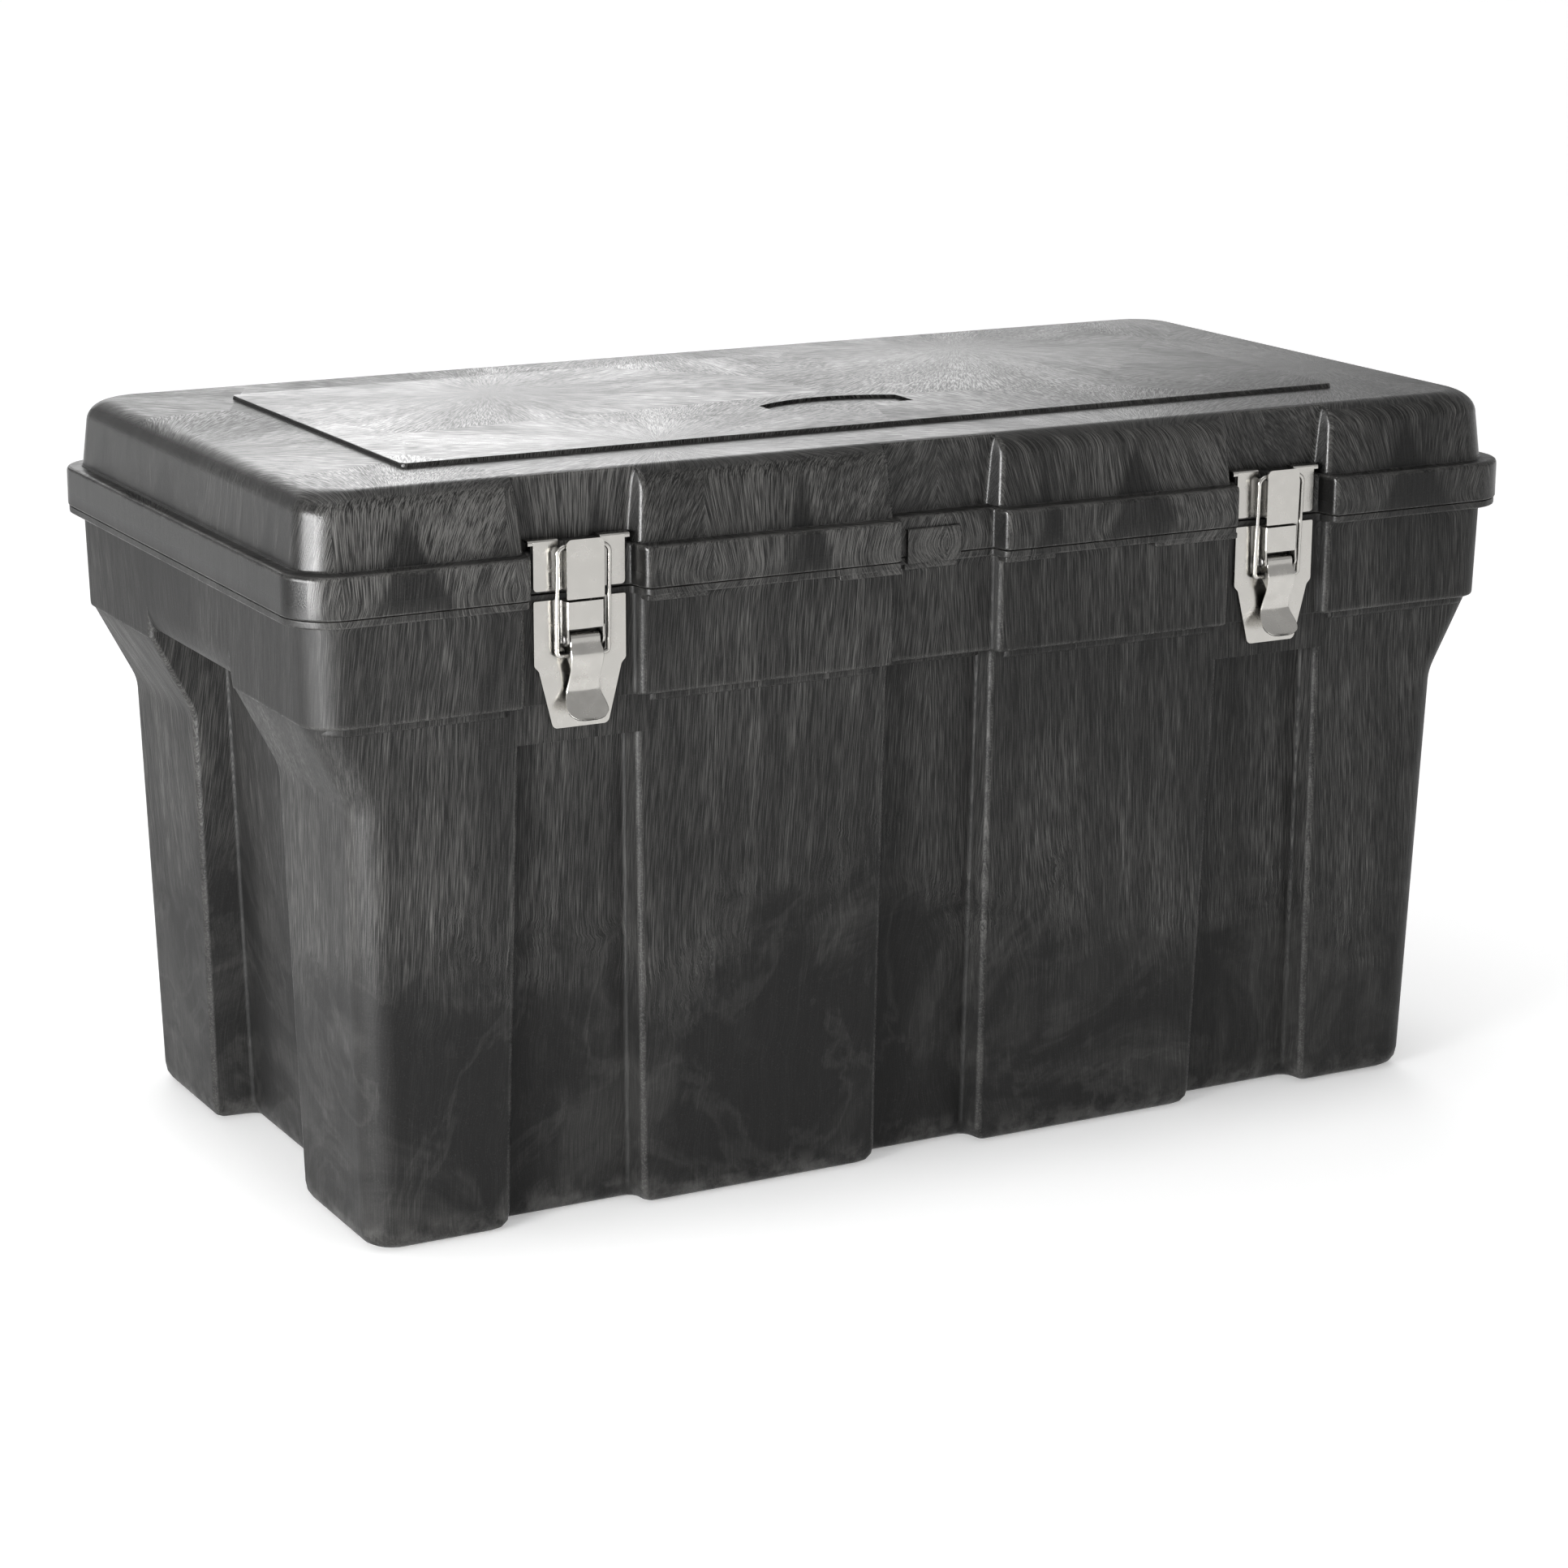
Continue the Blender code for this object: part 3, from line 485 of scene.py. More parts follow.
def build_body_shell(material):
    """The case: its shell with the outer hinge knuckles and small pads, less bores and grip pockets."""
    shell = new_object("body_moulding", loft(body_levels()))
    added, cuts = bmesh.new(), bmesh.new()
    for x in (-LATCH_X, LATCH_X):
        for side in (-1, 1):
            near, far = x + side * (KNUCKLE_HALF + 2 * GAP), x + side * KNUCKLE_END
            prism(added, knuckle_outline(False), "x", min(near, far), max(near, far))
        cut_hinge_bore(cuts, x)
        for z in BASE_RIVET_ZS:
            prism(cuts, circle((x, z), RIVET_RADIUS + GAP), "y", -PAD_Y - 0.004, -0.165)
    for ends in FLANGE_PADS:
        rounded_box(added, ends, (-0.1976, -0.1880), (0.3583, 0.3620), 0.0009)
    tab_pad = ((-0.0257, 0.0088), (-0.1859, -0.1800), (0.3576, 0.3620))
    rounded_box(added, *tab_pad, 0.0012)
    for side in (-1, 1):
        x = sorted((side * GRIP_BACK, side * POCKET_FRONT))
        box(cuts, x, (0.007 - END_HALF, END_HALF - 0.007), (0.300, POCKET_TOP_Z))
    combined(shell, (added, "UNION"), (cuts, "DIFFERENCE"))
    return finish_piece(shade(mark_edges(shell)), "body", "charcoal_plastic", material, "body_shell")


def build_lid_shell(material):
    """The lid: its shell with inner hinge knuckles, strike bosses and tab, less bores and badge recess."""
    shell = new_object("lid_moulding", loft(lid_levels()))
    added, cuts = bmesh.new(), bmesh.new()
    for x in (-LATCH_X, LATCH_X):
        prism(added, knuckle_outline(True), "x", x - KNUCKLE_HALF, x + KNUCKLE_HALF)
        box(added, (x - 0.028, x + 0.028), (-0.1829, -0.1745), (0.386, BOSS_TOP_Z))
        cut_hinge_bore(cuts, x)
        for way in (-1, 1):
            stud = circle((x + way * STRIKE_RIVET_ACROSS, STRIKE_RIVET_Z), RIVET_RADIUS + GAP)
            prism(cuts, stud, "y", -PAD_Y - 0.004, -0.172)
    tab = [(-0.1888, 0.3618), (-0.1863, 0.3618), (-0.1863, 0.3668), (-0.1835, 0.3668), (-0.1835, 0.3815)]
    prism(added, tab + [(-0.1884, 0.3815), (-0.1888, 0.3810)], "x", -0.0255, 0.0091)
    badge = [(-BADGE_HALF, -0.070), (BADGE_HALF, -0.070), *arc((0.0, -0.1228), 0.0878, 58.4, 121.6, 24)]
    prism(cuts, badge, "z", PANEL_Z - BADGE_DEPTH, PANEL_Z + 0.004)
    combined(shell, (added, "UNION"), (cuts, "DIFFERENCE"))
    return finish_piece(shade(mark_edges(shell)), "lid", "charcoal_plastic", material, "lid_shell")


# ---------------------------------------------------------------- latches
def bent(points, radii, steps=5):
    """The corners of an open path, rounded; a radius for each inner corner."""
    points = [np.array(p, float) for p in points]
    made = [points[0]]
    for i, radius in enumerate(radii, 1):
        made += fillet(points[i - 1], points[i], points[i + 1], radius, steps)
    return made + [points[-1]]


def rounded(points, radii, steps=5):
    """A closed outline with every corner rounded."""
    made = []
    for i, (point, radius) in enumerate(zip(points, radii)):
        before, after = points[i - 1], points[(i + 1) % len(points)]
        made += fillet(np.array(before), np.array(point), np.array(after), radius, steps)
    return made


def sheet_outline(path, thickness):
    """The closed outline of a sheet that follows a path."""
    sides = ([], [])
    for i, point in enumerate(path):
        along = path[min(i + 1, len(path) - 1)] - path[max(i - 1, 0)]
        across = np.array((-along[1], along[0])) / np.linalg.norm(along) * thickness / 2
        sides[0].append(point + across)
        sides[1].append(point - across)
    return sides[0] + sides[1][::-1]


def upright(bm, outline_points, x, low, high):
    """A latch prism along z from (across, out) points."""
    prism(bm, [(x + a, -PAD_Y - out) for a, out in outline_points], "z", low, high)


def facing(bm, outline_points, x, low, high):
    """A latch prism along the outward way from (across, z) points."""
    prism(bm, [(x + a, z) for a, z in outline_points], "y", -PAD_Y - high, -PAD_Y - low)


def sideways(bm, outline_points, x, low, high):
    """A latch prism along x from (out, z) points."""
    prism(bm, [(-PAD_Y - out, z) for out, z in outline_points], "x", x + low, x + high)


def part_of(fill, *values):
    """A new bmesh filled by one of the prism functions."""
    bm = bmesh.new()
    fill(bm, *values)
    return bm


def hat(ear, wall, low_out, high_out, radii):
    """Half of a pressed channel on each side of a raised front, as an open path."""
    points = [(-ear, low_out), (-wall, low_out), (-wall, high_out)]
    points += [(wall, high_out), (wall, low_out), (ear, low_out)]
    return bent(points, radii)


def rectangle(half, low, high):
    return [(-half, low), (half, low), (half, high), (-half, high)]


def joined(fill, *values):
    return part_of(fill, *values), "UNION"


def drilled(fill, *values):
    return part_of(fill, *values), "DIFFERENCE"


def finish_metal(obj, body, slot, material, node, edge=0.00022):
    bevel = obj.modifiers.new("Edges", "BEVEL")
    bevel.width, bevel.segments, bevel.limit_method = edge, 2, "ANGLE"
    bevel.angle_limit = math.radians(40.0)
    bevel.use_clamp_overlap = True
    return finish_piece(shade(obj), body, slot, material, node)


def build_strike(side, x, material):
    """The lid's plate: a raised channel with a tongue on its front, between two ears folded over the lid."""
    channel = hat(0.0150, 0.0109, 0.00055, 0.0087, (0.0016, 0.0013, 0.0013, 0.0016))
    channel = part_of(upright, sheet_outline(channel, SHEET), x, STRIKE_Z, SADDLE_Z)
    strike = new_object(f"strike_{side}", channel)
    # The plate behind the raised front, which the rivets hold, and its joint to the ears.
    back = rounded(rectangle(0.0106, 0.3690, 0.3860), (0.0012,) * 4)
    steps = [joined(facing, back, x, -0.00010, 0.00112)]
    steps.append(joined(facing, rectangle(0.0135, 0.3700, 0.3720), x, -0.00006, 0.00100))
    for way in (-1, 1):
        inner, outer, bottom = way * 0.0128, way * 0.0273, STRIKE_Z - 0.0002
        ear = [(inner, bottom), (outer, bottom), (outer, EAR_TOP_Z), (inner, EAR_TOP_Z)]
        ear = rounded(ear, (0.0010, 0.0022, 0.0002, 0.0002))
        steps.append(joined(facing, ear, x, -0.00008, 0.00118))
        fold_z = EAR_TOP_Z + 0.0004
        fold = bent([(0.00055, fold_z - 0.0021), (0.00055, fold_z), (-0.0059, fold_z)], (0.0009,))
        ends = sorted((way * 0.0126, way * 0.0303))
        steps.append(joined(sideways, sheet_outline(fold, 0.00116), x, *ends))
    tongue = rounded(rectangle(0.0112, TONGUE_BOTTOM_Z, TONGUE_TOP_Z), (0.0006, 0.0006, 0.0030, 0.0030))
    steps.append(joined(facing, tongue, x, 0.00808, 0.00929))
    for way in (-1, 1):
        hole = circle((way * STRIKE_RIVET_ACROSS, STRIKE_RIVET_Z), RIVET_RADIUS + GAP)
        steps.append(drilled(facing, hole, x, -0.003, 0.003))
    return finish_metal(combined(strike, *steps), "lid", "nickel_steel", material, f"strike_plate_{side}")


def build_base(side, x, material):
    """The body's plate: a tapered plate, a raised bridge, and two ears that hold the lever's pin."""
    out, z = LEVER_PIVOT
    right = [(0.0166, PLATE_BOTTOM_Z), (0.0248, 0.3232), (PLATE_HALF, 0.3260), (PLATE_HALF, PLATE_TOP_Z)]
    radii = (0.0034, 0.0030, 0.0030, 0.0009)
    outline = rounded(right + [(-a, up) for a, up in reversed(right)], radii + radii[::-1])
    base = new_object(f"base_{side}", part_of(facing, outline, x, GAP, GAP + SHEET))
    channel = hat(0.0150, 0.01065, 0.00091, 0.0089, (0.0016, 0.0013, 0.0013, 0.0016))
    steps = [joined(upright, sheet_outline(channel, SHEET), x, BRIDGE_Z, PLATE_TOP_Z - 0.0005)]
    ear_top = BRIDGE_Z + 0.0012
    ear = [(0.0012, ear_top), (0.0088, ear_top), *arc((out, z), 0.0038, 20.0, -90.0, 9), (0.0012, z - 0.0024)]
    for way in (-1, 1):
        foot = bent([(way * 0.0150, 0.00092), (way * 0.01065, 0.00092), (way * 0.01065, 0.0046)], (0.0016,))
        steps.append(joined(upright, sheet_outline(foot, 0.00118), x, 0.3376, BRIDGE_Z + 0.0004))
        steps.append(joined(sideways, ear, x, *sorted((way * 0.01006, way * 0.01123))))
    steps.append(drilled(sideways, circle((out, z), LEVER_PIN_RADIUS + GAP), x, -0.013, 0.013))
    for height in BASE_RIVET_ZS:
        steps.append(drilled(facing, circle((0.0, height), RIVET_RADIUS + GAP), x, -0.003, 0.003))
    return finish_metal(combined(base, *steps), "body", "nickel_steel", material, f"latch_base_{side}")


def skinned(bm, rings):
    """bm closed with faces from each ring of vertices to the next and over both ends."""
    bridge(bm, rings)
    bm.faces.new(rings[0])
    bm.faces.new(rings[-1])
    bmesh.ops.recalc_face_normals(bm, faces=bm.faces[:])
    return bm


def smooth_path(points, steps):
    """A Catmull-Rom curve through rows of numbers, with this many steps between two rows."""
    rows = np.array(points, float)
    made = []
    for i in range(len(rows) - 1):
        p0, p1, p2, p3 = rows[max(i - 1, 0)], rows[i], rows[i + 1], rows[min(i + 2, len(rows) - 1)]
        for k in range(steps):
            t = k / steps
            square, cube = 2 * p0 - 5 * p1 + 4 * p2 - p3, 3 * p1 - p0 - 3 * p2 + p3
            made.append(0.5 * (2 * p1 + (p2 - p0) * t + square * t ** 2 + cube * t ** 3))
    return made + [rows[-1]]


def lever_rows():
    """(out, z, half width, hollow) from the free end of the curl to the tip of the finger tab."""
    out, z = LEVER_PIVOT
    curl_radius = LEVER_PIN_RADIUS + GAP + LEVER_SHEET / 2
    rows = [(p[0], p[1], 0.0090, 0.0) for p in arc((out, z), curl_radius, 300.0, 0.0, 20)]
    # Out, distance below the pivot, half width and hollow.
    body = [
        (0.0083, 0.0035, 0.0091, 0.0), (0.0099, 0.0062, 0.0096, 0.0), (0.0105, 0.0090, 0.0098, 0.0),
        (0.0100, 0.0130, 0.0096, 0.0), (0.0083, 0.0180, 0.0092, 0.0), (0.0060, 0.0230, 0.0092, 0.0),
        (0.0047, 0.0275, 0.0097, 0.0), (0.0048, 0.0300, 0.0102, 0.0002), (0.0062, 0.0330, 0.0111, 0.0005),
        (0.0085, 0.0362, 0.0120, 0.0007), (0.0112, 0.0392, 0.0121, 0.0007), (0.0129, 0.0411, 0.0111, 0.0006),
        (0.0142, 0.0426, 0.0090, 0.0004), (0.0149, 0.0434, 0.0066, 0.0002), (0.0152, 0.0438, 0.0036, 0.0),
    ]
    return smooth_path(rows + [(o, z - down, half, dish) for o, down, half, dish in body], 4)


def lever_strip(x):
    """The lever's sheet with rounded edges, dished a little where the finger goes."""
    bm = bmesh.new()
    rows = lever_rows()
    across = [-1.0, -0.97, -0.85, -0.6, -0.3, 0.0, 0.3, 0.6, 0.85, 0.97, 1.0]
    thinner = {1.0: 0.45, 0.97: 0.85}
    rings = []
    for i, (out, z, half, dish) in enumerate(rows):
        along = rows[min(i + 1, len(rows) - 1)][:2] - rows[max(i - 1, 0)][:2]
        along /= np.linalg.norm(along)
        normal = np.array((-along[1], along[0]))
        ring_points = []
        for sign in (-1, 1):
            for share in across if sign < 0 else reversed(across):
                lift = sign * LEVER_SHEET / 2 * thinner.get(abs(share), 1.0) - dish * (1 - share ** 2)
                point = np.array((out, z)) + normal * lift
                ring_points.append(bm.verts.new((x + share * half, -PAD_Y - point[0], point[1])))
        rings.append(ring_points)
    return skinned(bm, rings)


def build_lever(side, x, material):
    """The lever: its sheet and the two flanges that carry the wire loop."""
    lever = new_object(f"handle_{side}", lever_strip(x))
    out, z = BAIL_PIVOT
    flange = arc((out, z), 0.0026, 90.0, 250.0, 12)
    flange += [(0.0060, 0.3266), (0.0078, 0.3241), (0.0090, 0.3250)]
    flange += [(0.0101, 0.3290), (0.0101, 0.3318), (0.0094, 0.3342)]
    steps = [joined(sideways, flange, x, *sorted((way * 0.0076, way * 0.0088))) for way in (-1, 1)]
    steps.append(drilled(sideways, circle((out, z), WIRE_RADIUS + 0.0002), x, -0.0105, 0.0105))
    lever = combined(lever, *steps)
    return finish_metal(lever, f"lever_{side}", "nickel_steel", material, f"lever_{side}", 0.00012)


def build_bail(side, x, material):
    """The wire loop, swept round its bends, with rounded ends."""
    out, z = BAIL_PIVOT
    rise = SADDLE_Z + WIRE_RADIUS + GAP - z
    lean = math.atan2(BAIL_BAR_OUT - out, rise)
    length = math.hypot(rise, BAIL_BAR_OUT - out)
    foot = arc((BAIL_HALF - 0.0022, 0.0022), 0.0022, -90.0, 0.0, 8)
    top = arc((BAIL_HALF - BAIL_BEND, length - BAIL_BEND), BAIL_BEND, 0.0, 90.0, 12)
    right = [(BAIL_END, 0.0), (BAIL_END + 0.0004, 0.0), *foot, *top]
    path = right + [(-a, up) for a, up in reversed(right)]
    path = [(x + a, -PAD_Y - out - up * math.sin(lean), z + up * math.cos(lean)) for a, up in path]
    points = [Vector(p) for p in path]
    plane = Vector((0, -math.cos(lean), -math.sin(lean)))
    turns = [2 * math.pi * k / WIRE_SIDES for k in range(WIRE_SIDES)]
    bm = bmesh.new()
    rings = []
    for i, point in enumerate(points):
        along = (points[min(i + 1, len(points) - 1)] - points[max(i - 1, 0)]).normalized()
        across = along.cross(plane)
        radius = WIRE_RADIUS * (0.72 if i in (0, len(points) - 1) else 1.0)
        around = [across * math.cos(t) + plane * math.sin(t) for t in turns]
        rings.append([bm.verts.new(point + way * radius) for way in around])
    loop = shade(new_object(f"loop_{side}", skinned(bm, rings)), 50)
    return finish_piece(loop, f"bail_{side}", "nickel_steel", material, f"bail_{side}")


def turned(name, origin, axis, profile, steps=32):
    """A turned piece: (along, radius) rows spun about an axis."""
    origin, axis = Vector(origin), Vector(axis)
    first = axis.orthogonal().normalized()
    second = axis.cross(first)
    turns = [2 * math.pi * k / steps for k in range(steps)]
    around = [first * math.cos(t) + second * math.sin(t) for t in turns]
    bm = bmesh.new()
    rings = []
    for along, radius in profile:
        rings.append([bm.verts.new(origin + axis * along + way * radius) for way in around])
    return new_object(name, skinned(bm, rings))


def domed(at, height, radius, steps=5):
    """Rows of a rounded head that starts flat at `at` and rises by height."""
    rows = [(at, radius)]
    for k in range(1, steps + 1):
        turn = math.radians(85.0 * k / steps)
        rows.append((at + height * (0.35 + 0.65 * math.sin(turn)), radius * math.cos(turn)))
    return rows


def build_lever_pin(side, x, material):
    shoulder = 0.01125 + GAP
    head = domed(shoulder, LEVER_PIN_HALF - shoulder, LEVER_PIN_HEAD_RADIUS)
    rows = [(-along, radius) for along, radius in reversed(head)] + [(-shoulder, LEVER_PIN_RADIUS)]
    rows += [(shoulder, LEVER_PIN_RADIUS)] + head
    pin = turned(f"pivot_{side}", (x, -PAD_Y - LEVER_PIVOT[0], LEVER_PIVOT[1]), (1, 0, 0), rows)
    finish_piece(shade(pin), "body", "rivet_steel", material, f"lever_pin_{side}")


def build_rivet(name, place, faces, body, material):
    """A rivet at (x, z) from a tail behind the inner face to a domed head on the outer one."""
    inner, outer = faces
    rows = [(inner - 0.0012, 0.0030), (inner - 0.0009, RIVET_TAIL_RADIUS), (inner - GAP, RIVET_TAIL_RADIUS)]
    rows += [(inner - GAP, RIVET_RADIUS), (outer + GAP, RIVET_RADIUS)]
    rows += domed(outer + GAP, 0.0014 - GAP, RIVET_HEAD_RADIUS)
    rivet = turned(name.replace("rivet", "stud"), (place[0], 0.0, place[1]), (0, -1, 0), rows)
    finish_piece(shade(rivet), body, "rivet_steel", material, name)


def build_hinge_rod(side, x, material):
    """The hinge's rod, which has a head on its +X end only."""
    lowest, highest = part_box(f"hinge_pin_{side}")
    heads, tip = KNUCKLE_END + GAP, x - lowest[0]
    rows = [(-tip, HINGE_PIN_RADIUS * 0.6), (0.0004 - tip, HINGE_PIN_RADIUS), (heads, HINGE_PIN_RADIUS)]
    rows += domed(heads, highest[0] - x - heads, highest[2] - HINGE_Z)
    rod = turned(f"hinge_rod_{side}", (x, HINGE_Y, HINGE_Z), (1, 0, 0), rows)
    finish_piece(shade(rod), "body", "rivet_steel", material, f"hinge_pin_{side}")


def build_pins(side, x, material):
    build_lever_pin(side, x, material)
    strike_faces = (STRIKE_INNER_FACE, PAD_Y + 0.0013)
    for tag, way in (("outer", -1), ("inner", 1)):
        place = (x + way * STRIKE_RIVET_ACROSS, STRIKE_RIVET_Z)
        build_rivet(f"strike_rivet_{side}_{tag}", place, strike_faces, "lid", material)
    base_faces = (BASE_INNER_FACE, PAD_Y + GAP + SHEET)
    for tag, z in zip(("upper", "lower"), BASE_RIVET_ZS):
        build_rivet(f"base_rivet_{side}_{tag}", (x, z), base_faces, "body", material)
    build_hinge_rod(side, x, material)


# ---------------------------------------------------------------- materials
class Graph:
    """A short way to write the nodes of a material or a world."""

    def __init__(self, owner, shader="Principled BSDF"):
        owner.use_nodes = True
        self.tree = owner.node_tree
        self.shader = self.tree.nodes[shader]

    def put(self, socket, value):
        if isinstance(value, bpy.types.NodeSocket):
            self.tree.links.new(value, socket)
        elif value is not None:
            socket.default_value = value

    def openness(self, distance, samples):
        """Ambient occlusion: 1 in the open, less near other surfaces."""
        node = self.tree.nodes.new("ShaderNodeAmbientOcclusion")
        node.samples = samples
        node.inputs["Distance"].default_value = distance
        return node.outputs["AO"]

    def bump(self, height, strength, distance):
        node = self.tree.nodes.new("ShaderNodeBump")
        node.inputs["Strength"].default_value = strength
        node.inputs["Distance"].default_value = distance
        self.put(node.inputs["Height"], height)
        self.put(self.shader.inputs["Normal"], node.outputs[0])

    def add(self, kind, *inputs, output=0, **settings):
        node = self.tree.nodes.new(kind)
        for key, value in settings.items():
            setattr(node, key, value)
        for socket, value in zip(node.inputs, inputs):
            self.put(socket, value)
        return node.outputs[output]

    def maths(self, operation, *inputs):
        return self.add("ShaderNodeMath", *inputs, operation=operation)

    def plus(self, first, second):
        return self.maths("ADD", first, second)

    def minus(self, first, second):
        return self.maths("SUBTRACT", first, second)

    def times(self, first, second):
        return self.maths("MULTIPLY", first, second)

    def absolute(self, value):
        return self.maths("ABSOLUTE", value)

    def centred(self, value):
        """A noise value moved so that its middle is zero."""
        return self.minus(value, 0.5)

    def vector(self, operation, *inputs):
        return self.add("ShaderNodeVectorMath", *inputs, operation=operation)

    def split(self, vector):
        node = self.tree.nodes.new("ShaderNodeSeparateXYZ")
        self.put(node.inputs[0], vector)
        return node.outputs

    def join(self, x, y, z):
        return self.add("ShaderNodeCombineXYZ", x, y, z)

    def noise(self, vector, scale, detail=2.0, roughness=0.5, distortion=0.0, colour=False):
        node = self.tree.nodes.new("ShaderNodeTexNoise")
        node.noise_dimensions = "3D"
        names = ("Vector", "Scale", "Detail", "Roughness", "Distortion")
        for name, value in zip(names, (vector, scale, detail, roughness, distortion)):
            self.put(node.inputs[name], value)
        return node.outputs["Color" if colour else 0]

    def ramp(self, value, low, high, to_low=0.0, to_high=1.0, smooth=True):
        node = self.tree.nodes.new("ShaderNodeMapRange")
        node.interpolation_type = "SMOOTHSTEP" if smooth else "LINEAR"
        for socket, number in zip(node.inputs, (value, low, high, to_low, to_high)):
            self.put(socket, number)
        return node.outputs[0]

    def mixed(self, data_type, at, output, share, first, second):
        node = self.tree.nodes.new("ShaderNodeMix")
        node.data_type = data_type
        for index, value in ((0, share), (at, first), (at + 1, second)):
            self.put(node.inputs[index], value)
        return node.outputs[output]

    def blend(self, share, first, second):
        return self.mixed("FLOAT", 2, 0, share, first, second)

    def blend_colour(self, share, first, second):
        return self.mixed("RGBA", 6, 2, share, first, second)

    def cells(self, dimensions, socket, place, scale):
        """The outputs of a Voronoi texture."""
        node = self.tree.nodes.new("ShaderNodeTexVoronoi")
        node.voronoi_dimensions = dimensions
        self.put(node.inputs[socket], place)
        node.inputs["Scale"].default_value = scale
        return node.outputs


# Noise scales are in features per metre.
STREAK_SCALE, BROAD_SCALE, GRAIN_SCALE = 2300.0, 90.0, 1150.0
# Down the walls, streaks give way to swirls between these heights.
STREAKS_END_Z, SWIRLS_FULL_Z = 0.185, 0.115
DARK_PLASTIC, PALE_PLASTIC = (0.0040, 0.0040, 0.0039, 1.0), (0.100, 0.098, 0.094, 1.0)


def swirl_share(g, place, z, slow):
    """1 low on the walls, where streaks give way to swirls, with a ragged upper edge."""
    wave = g.times(g.centred(slow), 0.22)
    ragged = g.times(g.centred(g.noise(place, 16.0, 6.0, 0.62, 0.8)), 0.20)
    return g.ramp(g.plus(g.plus(z, wave), ragged), STREAKS_END_Z, SWIRLS_FULL_Z)


def lid_fans(g, along, z):
    """(sideways shift, brightness) of the fans in which streaks cross the lid's walls."""
    fan = g.cells("1D", "W", along, 9.0)
    tint = g.split(fan["Color"])
    local = g.minus(along, fan["W"])
    spread = g.times(g.ramp(tint[0], 0.25, 0.75, -6.0, 9.0), g.minus(0.40, z))
    reach = g.times(g.minus(0.422, z), g.ramp(tint[1], 0.0, 1.0, 0.1, 0.75, smooth=False))
    inside = g.ramp(g.minus(g.absolute(local), reach), -0.006, 0.003, 0.22, 1.35)
    return g.times(local, spread), inside


def side_streaks(g, place, normal, on_lid):
    """Hairlines down the walls as (fine, broad, brightness, share of swirls), with painted shade darkening
    the upper end walls.
    """
    x, y, z = g.split(place)
    slow = g.split(g.noise(place, 4.5, 1.0, 0.4, colour=True))
    curl = g.split(g.noise(place, 10.0, 1.5, 0.5, 0.4, colour=True))
    low = swirl_share(g, place, z, slow[0])
    amount = g.blend(low, 0.003, 0.030)
    bend = g.plus(g.times(g.centred(slow[1]), 0.022), g.times(z, 0.08))
    bend = g.plus(bend, g.times(g.centred(curl[0]), amount))
    rise = g.times(g.centred(curl[1]), amount)
    on_end = g.maths("GREATER_THAN", g.absolute(normal[0]), g.absolute(normal[1]))
    fanned, inside = lid_fans(g, g.blend(on_end, x, g.plus(y, 3.0)), z)
    around = g.plus(g.minus(g.absolute(x), g.absolute(y)), g.plus(bend, g.times(fanned, on_lid)))
    apart = g.plus(g.times(x, 0.10), g.times(y, 0.13))
    across = g.join(around, g.times(g.plus(z, rise), 0.020), apart)
    # Painted shade: the end walls are made darker above the body's shoulder, darker still on the lid's walls
    # and darkest on its rim.
    end_body_shade = g.ramp(z, 0.297, 0.306, 1.0, 0.45)
    end_lid_shade = g.ramp(z, RIM_Z - 0.001, RIM_Z + 0.001, 0.05, 0.26)
    painted_end_shade = g.blend(on_end, 1.0, g.blend(on_lid, end_body_shade, end_lid_shade))
    facet = g.times(g.blend(on_lid, 1.0, inside), painted_end_shade)
    return g.noise(across, STREAK_SCALE, 2.0, 0.65), g.noise(across, BROAD_SCALE, 2.0, 0.5), facet, low


def top_streaks(g, x, y):
    """Hairlines that spread over the lid's top from where the plastic flowed in."""
    place = g.join(g.plus(x, 0.03), g.plus(y, 0.05), 0.0)
    gate = g.cells("2D", "Vector", place, 4.2)
    local = g.vector("SUBTRACT", place, gate["Position"])
    away = g.add("ShaderNodeVectorMath", local, output=1, operation="LENGTH")
    dx, dy, _ = g.split(g.vector("NORMALIZE", local))
    wobble = g.times(g.centred(g.noise(place, 9.0, 1.0)), 0.16)
    spokes = g.join(g.plus(dx, wobble), g.plus(dy, wobble), g.times(away, 0.4))
    fine = g.noise(spokes, 190.0, 2.0, 0.6)
    broad = g.blend(g.ramp(away, 0.02, 0.10), 0.55, g.noise(spokes, 3.2, 1.0, 0.5))
    facet = g.ramp(g.split(gate["Color"])[0], 0.0, 1.0, 0.8, 1.15, smooth=False)
    return fine, broad, facet


def streak_light(g, fine, wide, cloud, facet, on_lid):
    """How pale the streaks are, 0 to 1, with a painted sheen that makes them paler on the lid."""
    light = g.times(fine, g.plus(0.45, g.times(wide, 0.55)))
    light = g.times(light, g.ramp(cloud, 0.30, 0.70, 0.50, 1.15))
    # Painted sheen: the streaks are made up to half as pale again on the lid.
    return g.times(light, g.times(facet, g.ramp(on_lid, 0.0, 1.0, 1.0, 1.5)))


def swirl_light(g, place, fine):
    """How pale the swirls low on the walls are: soft marbling with thin veins."""
    marble = g.noise(place, 9.0, 6.0, 0.62, 1.3)
    vein = g.ramp(g.absolute(g.centred(g.noise(place, 7.0, 5.0, 0.6, 1.8))), 0.045, 0.0)
    swirl = g.plus(g.times(g.ramp(marble, 0.46, 0.70), 0.50), g.times(vein, 0.26))
    return g.times(g.times(swirl, g.plus(0.45, g.times(fine, 0.55))), 0.58)


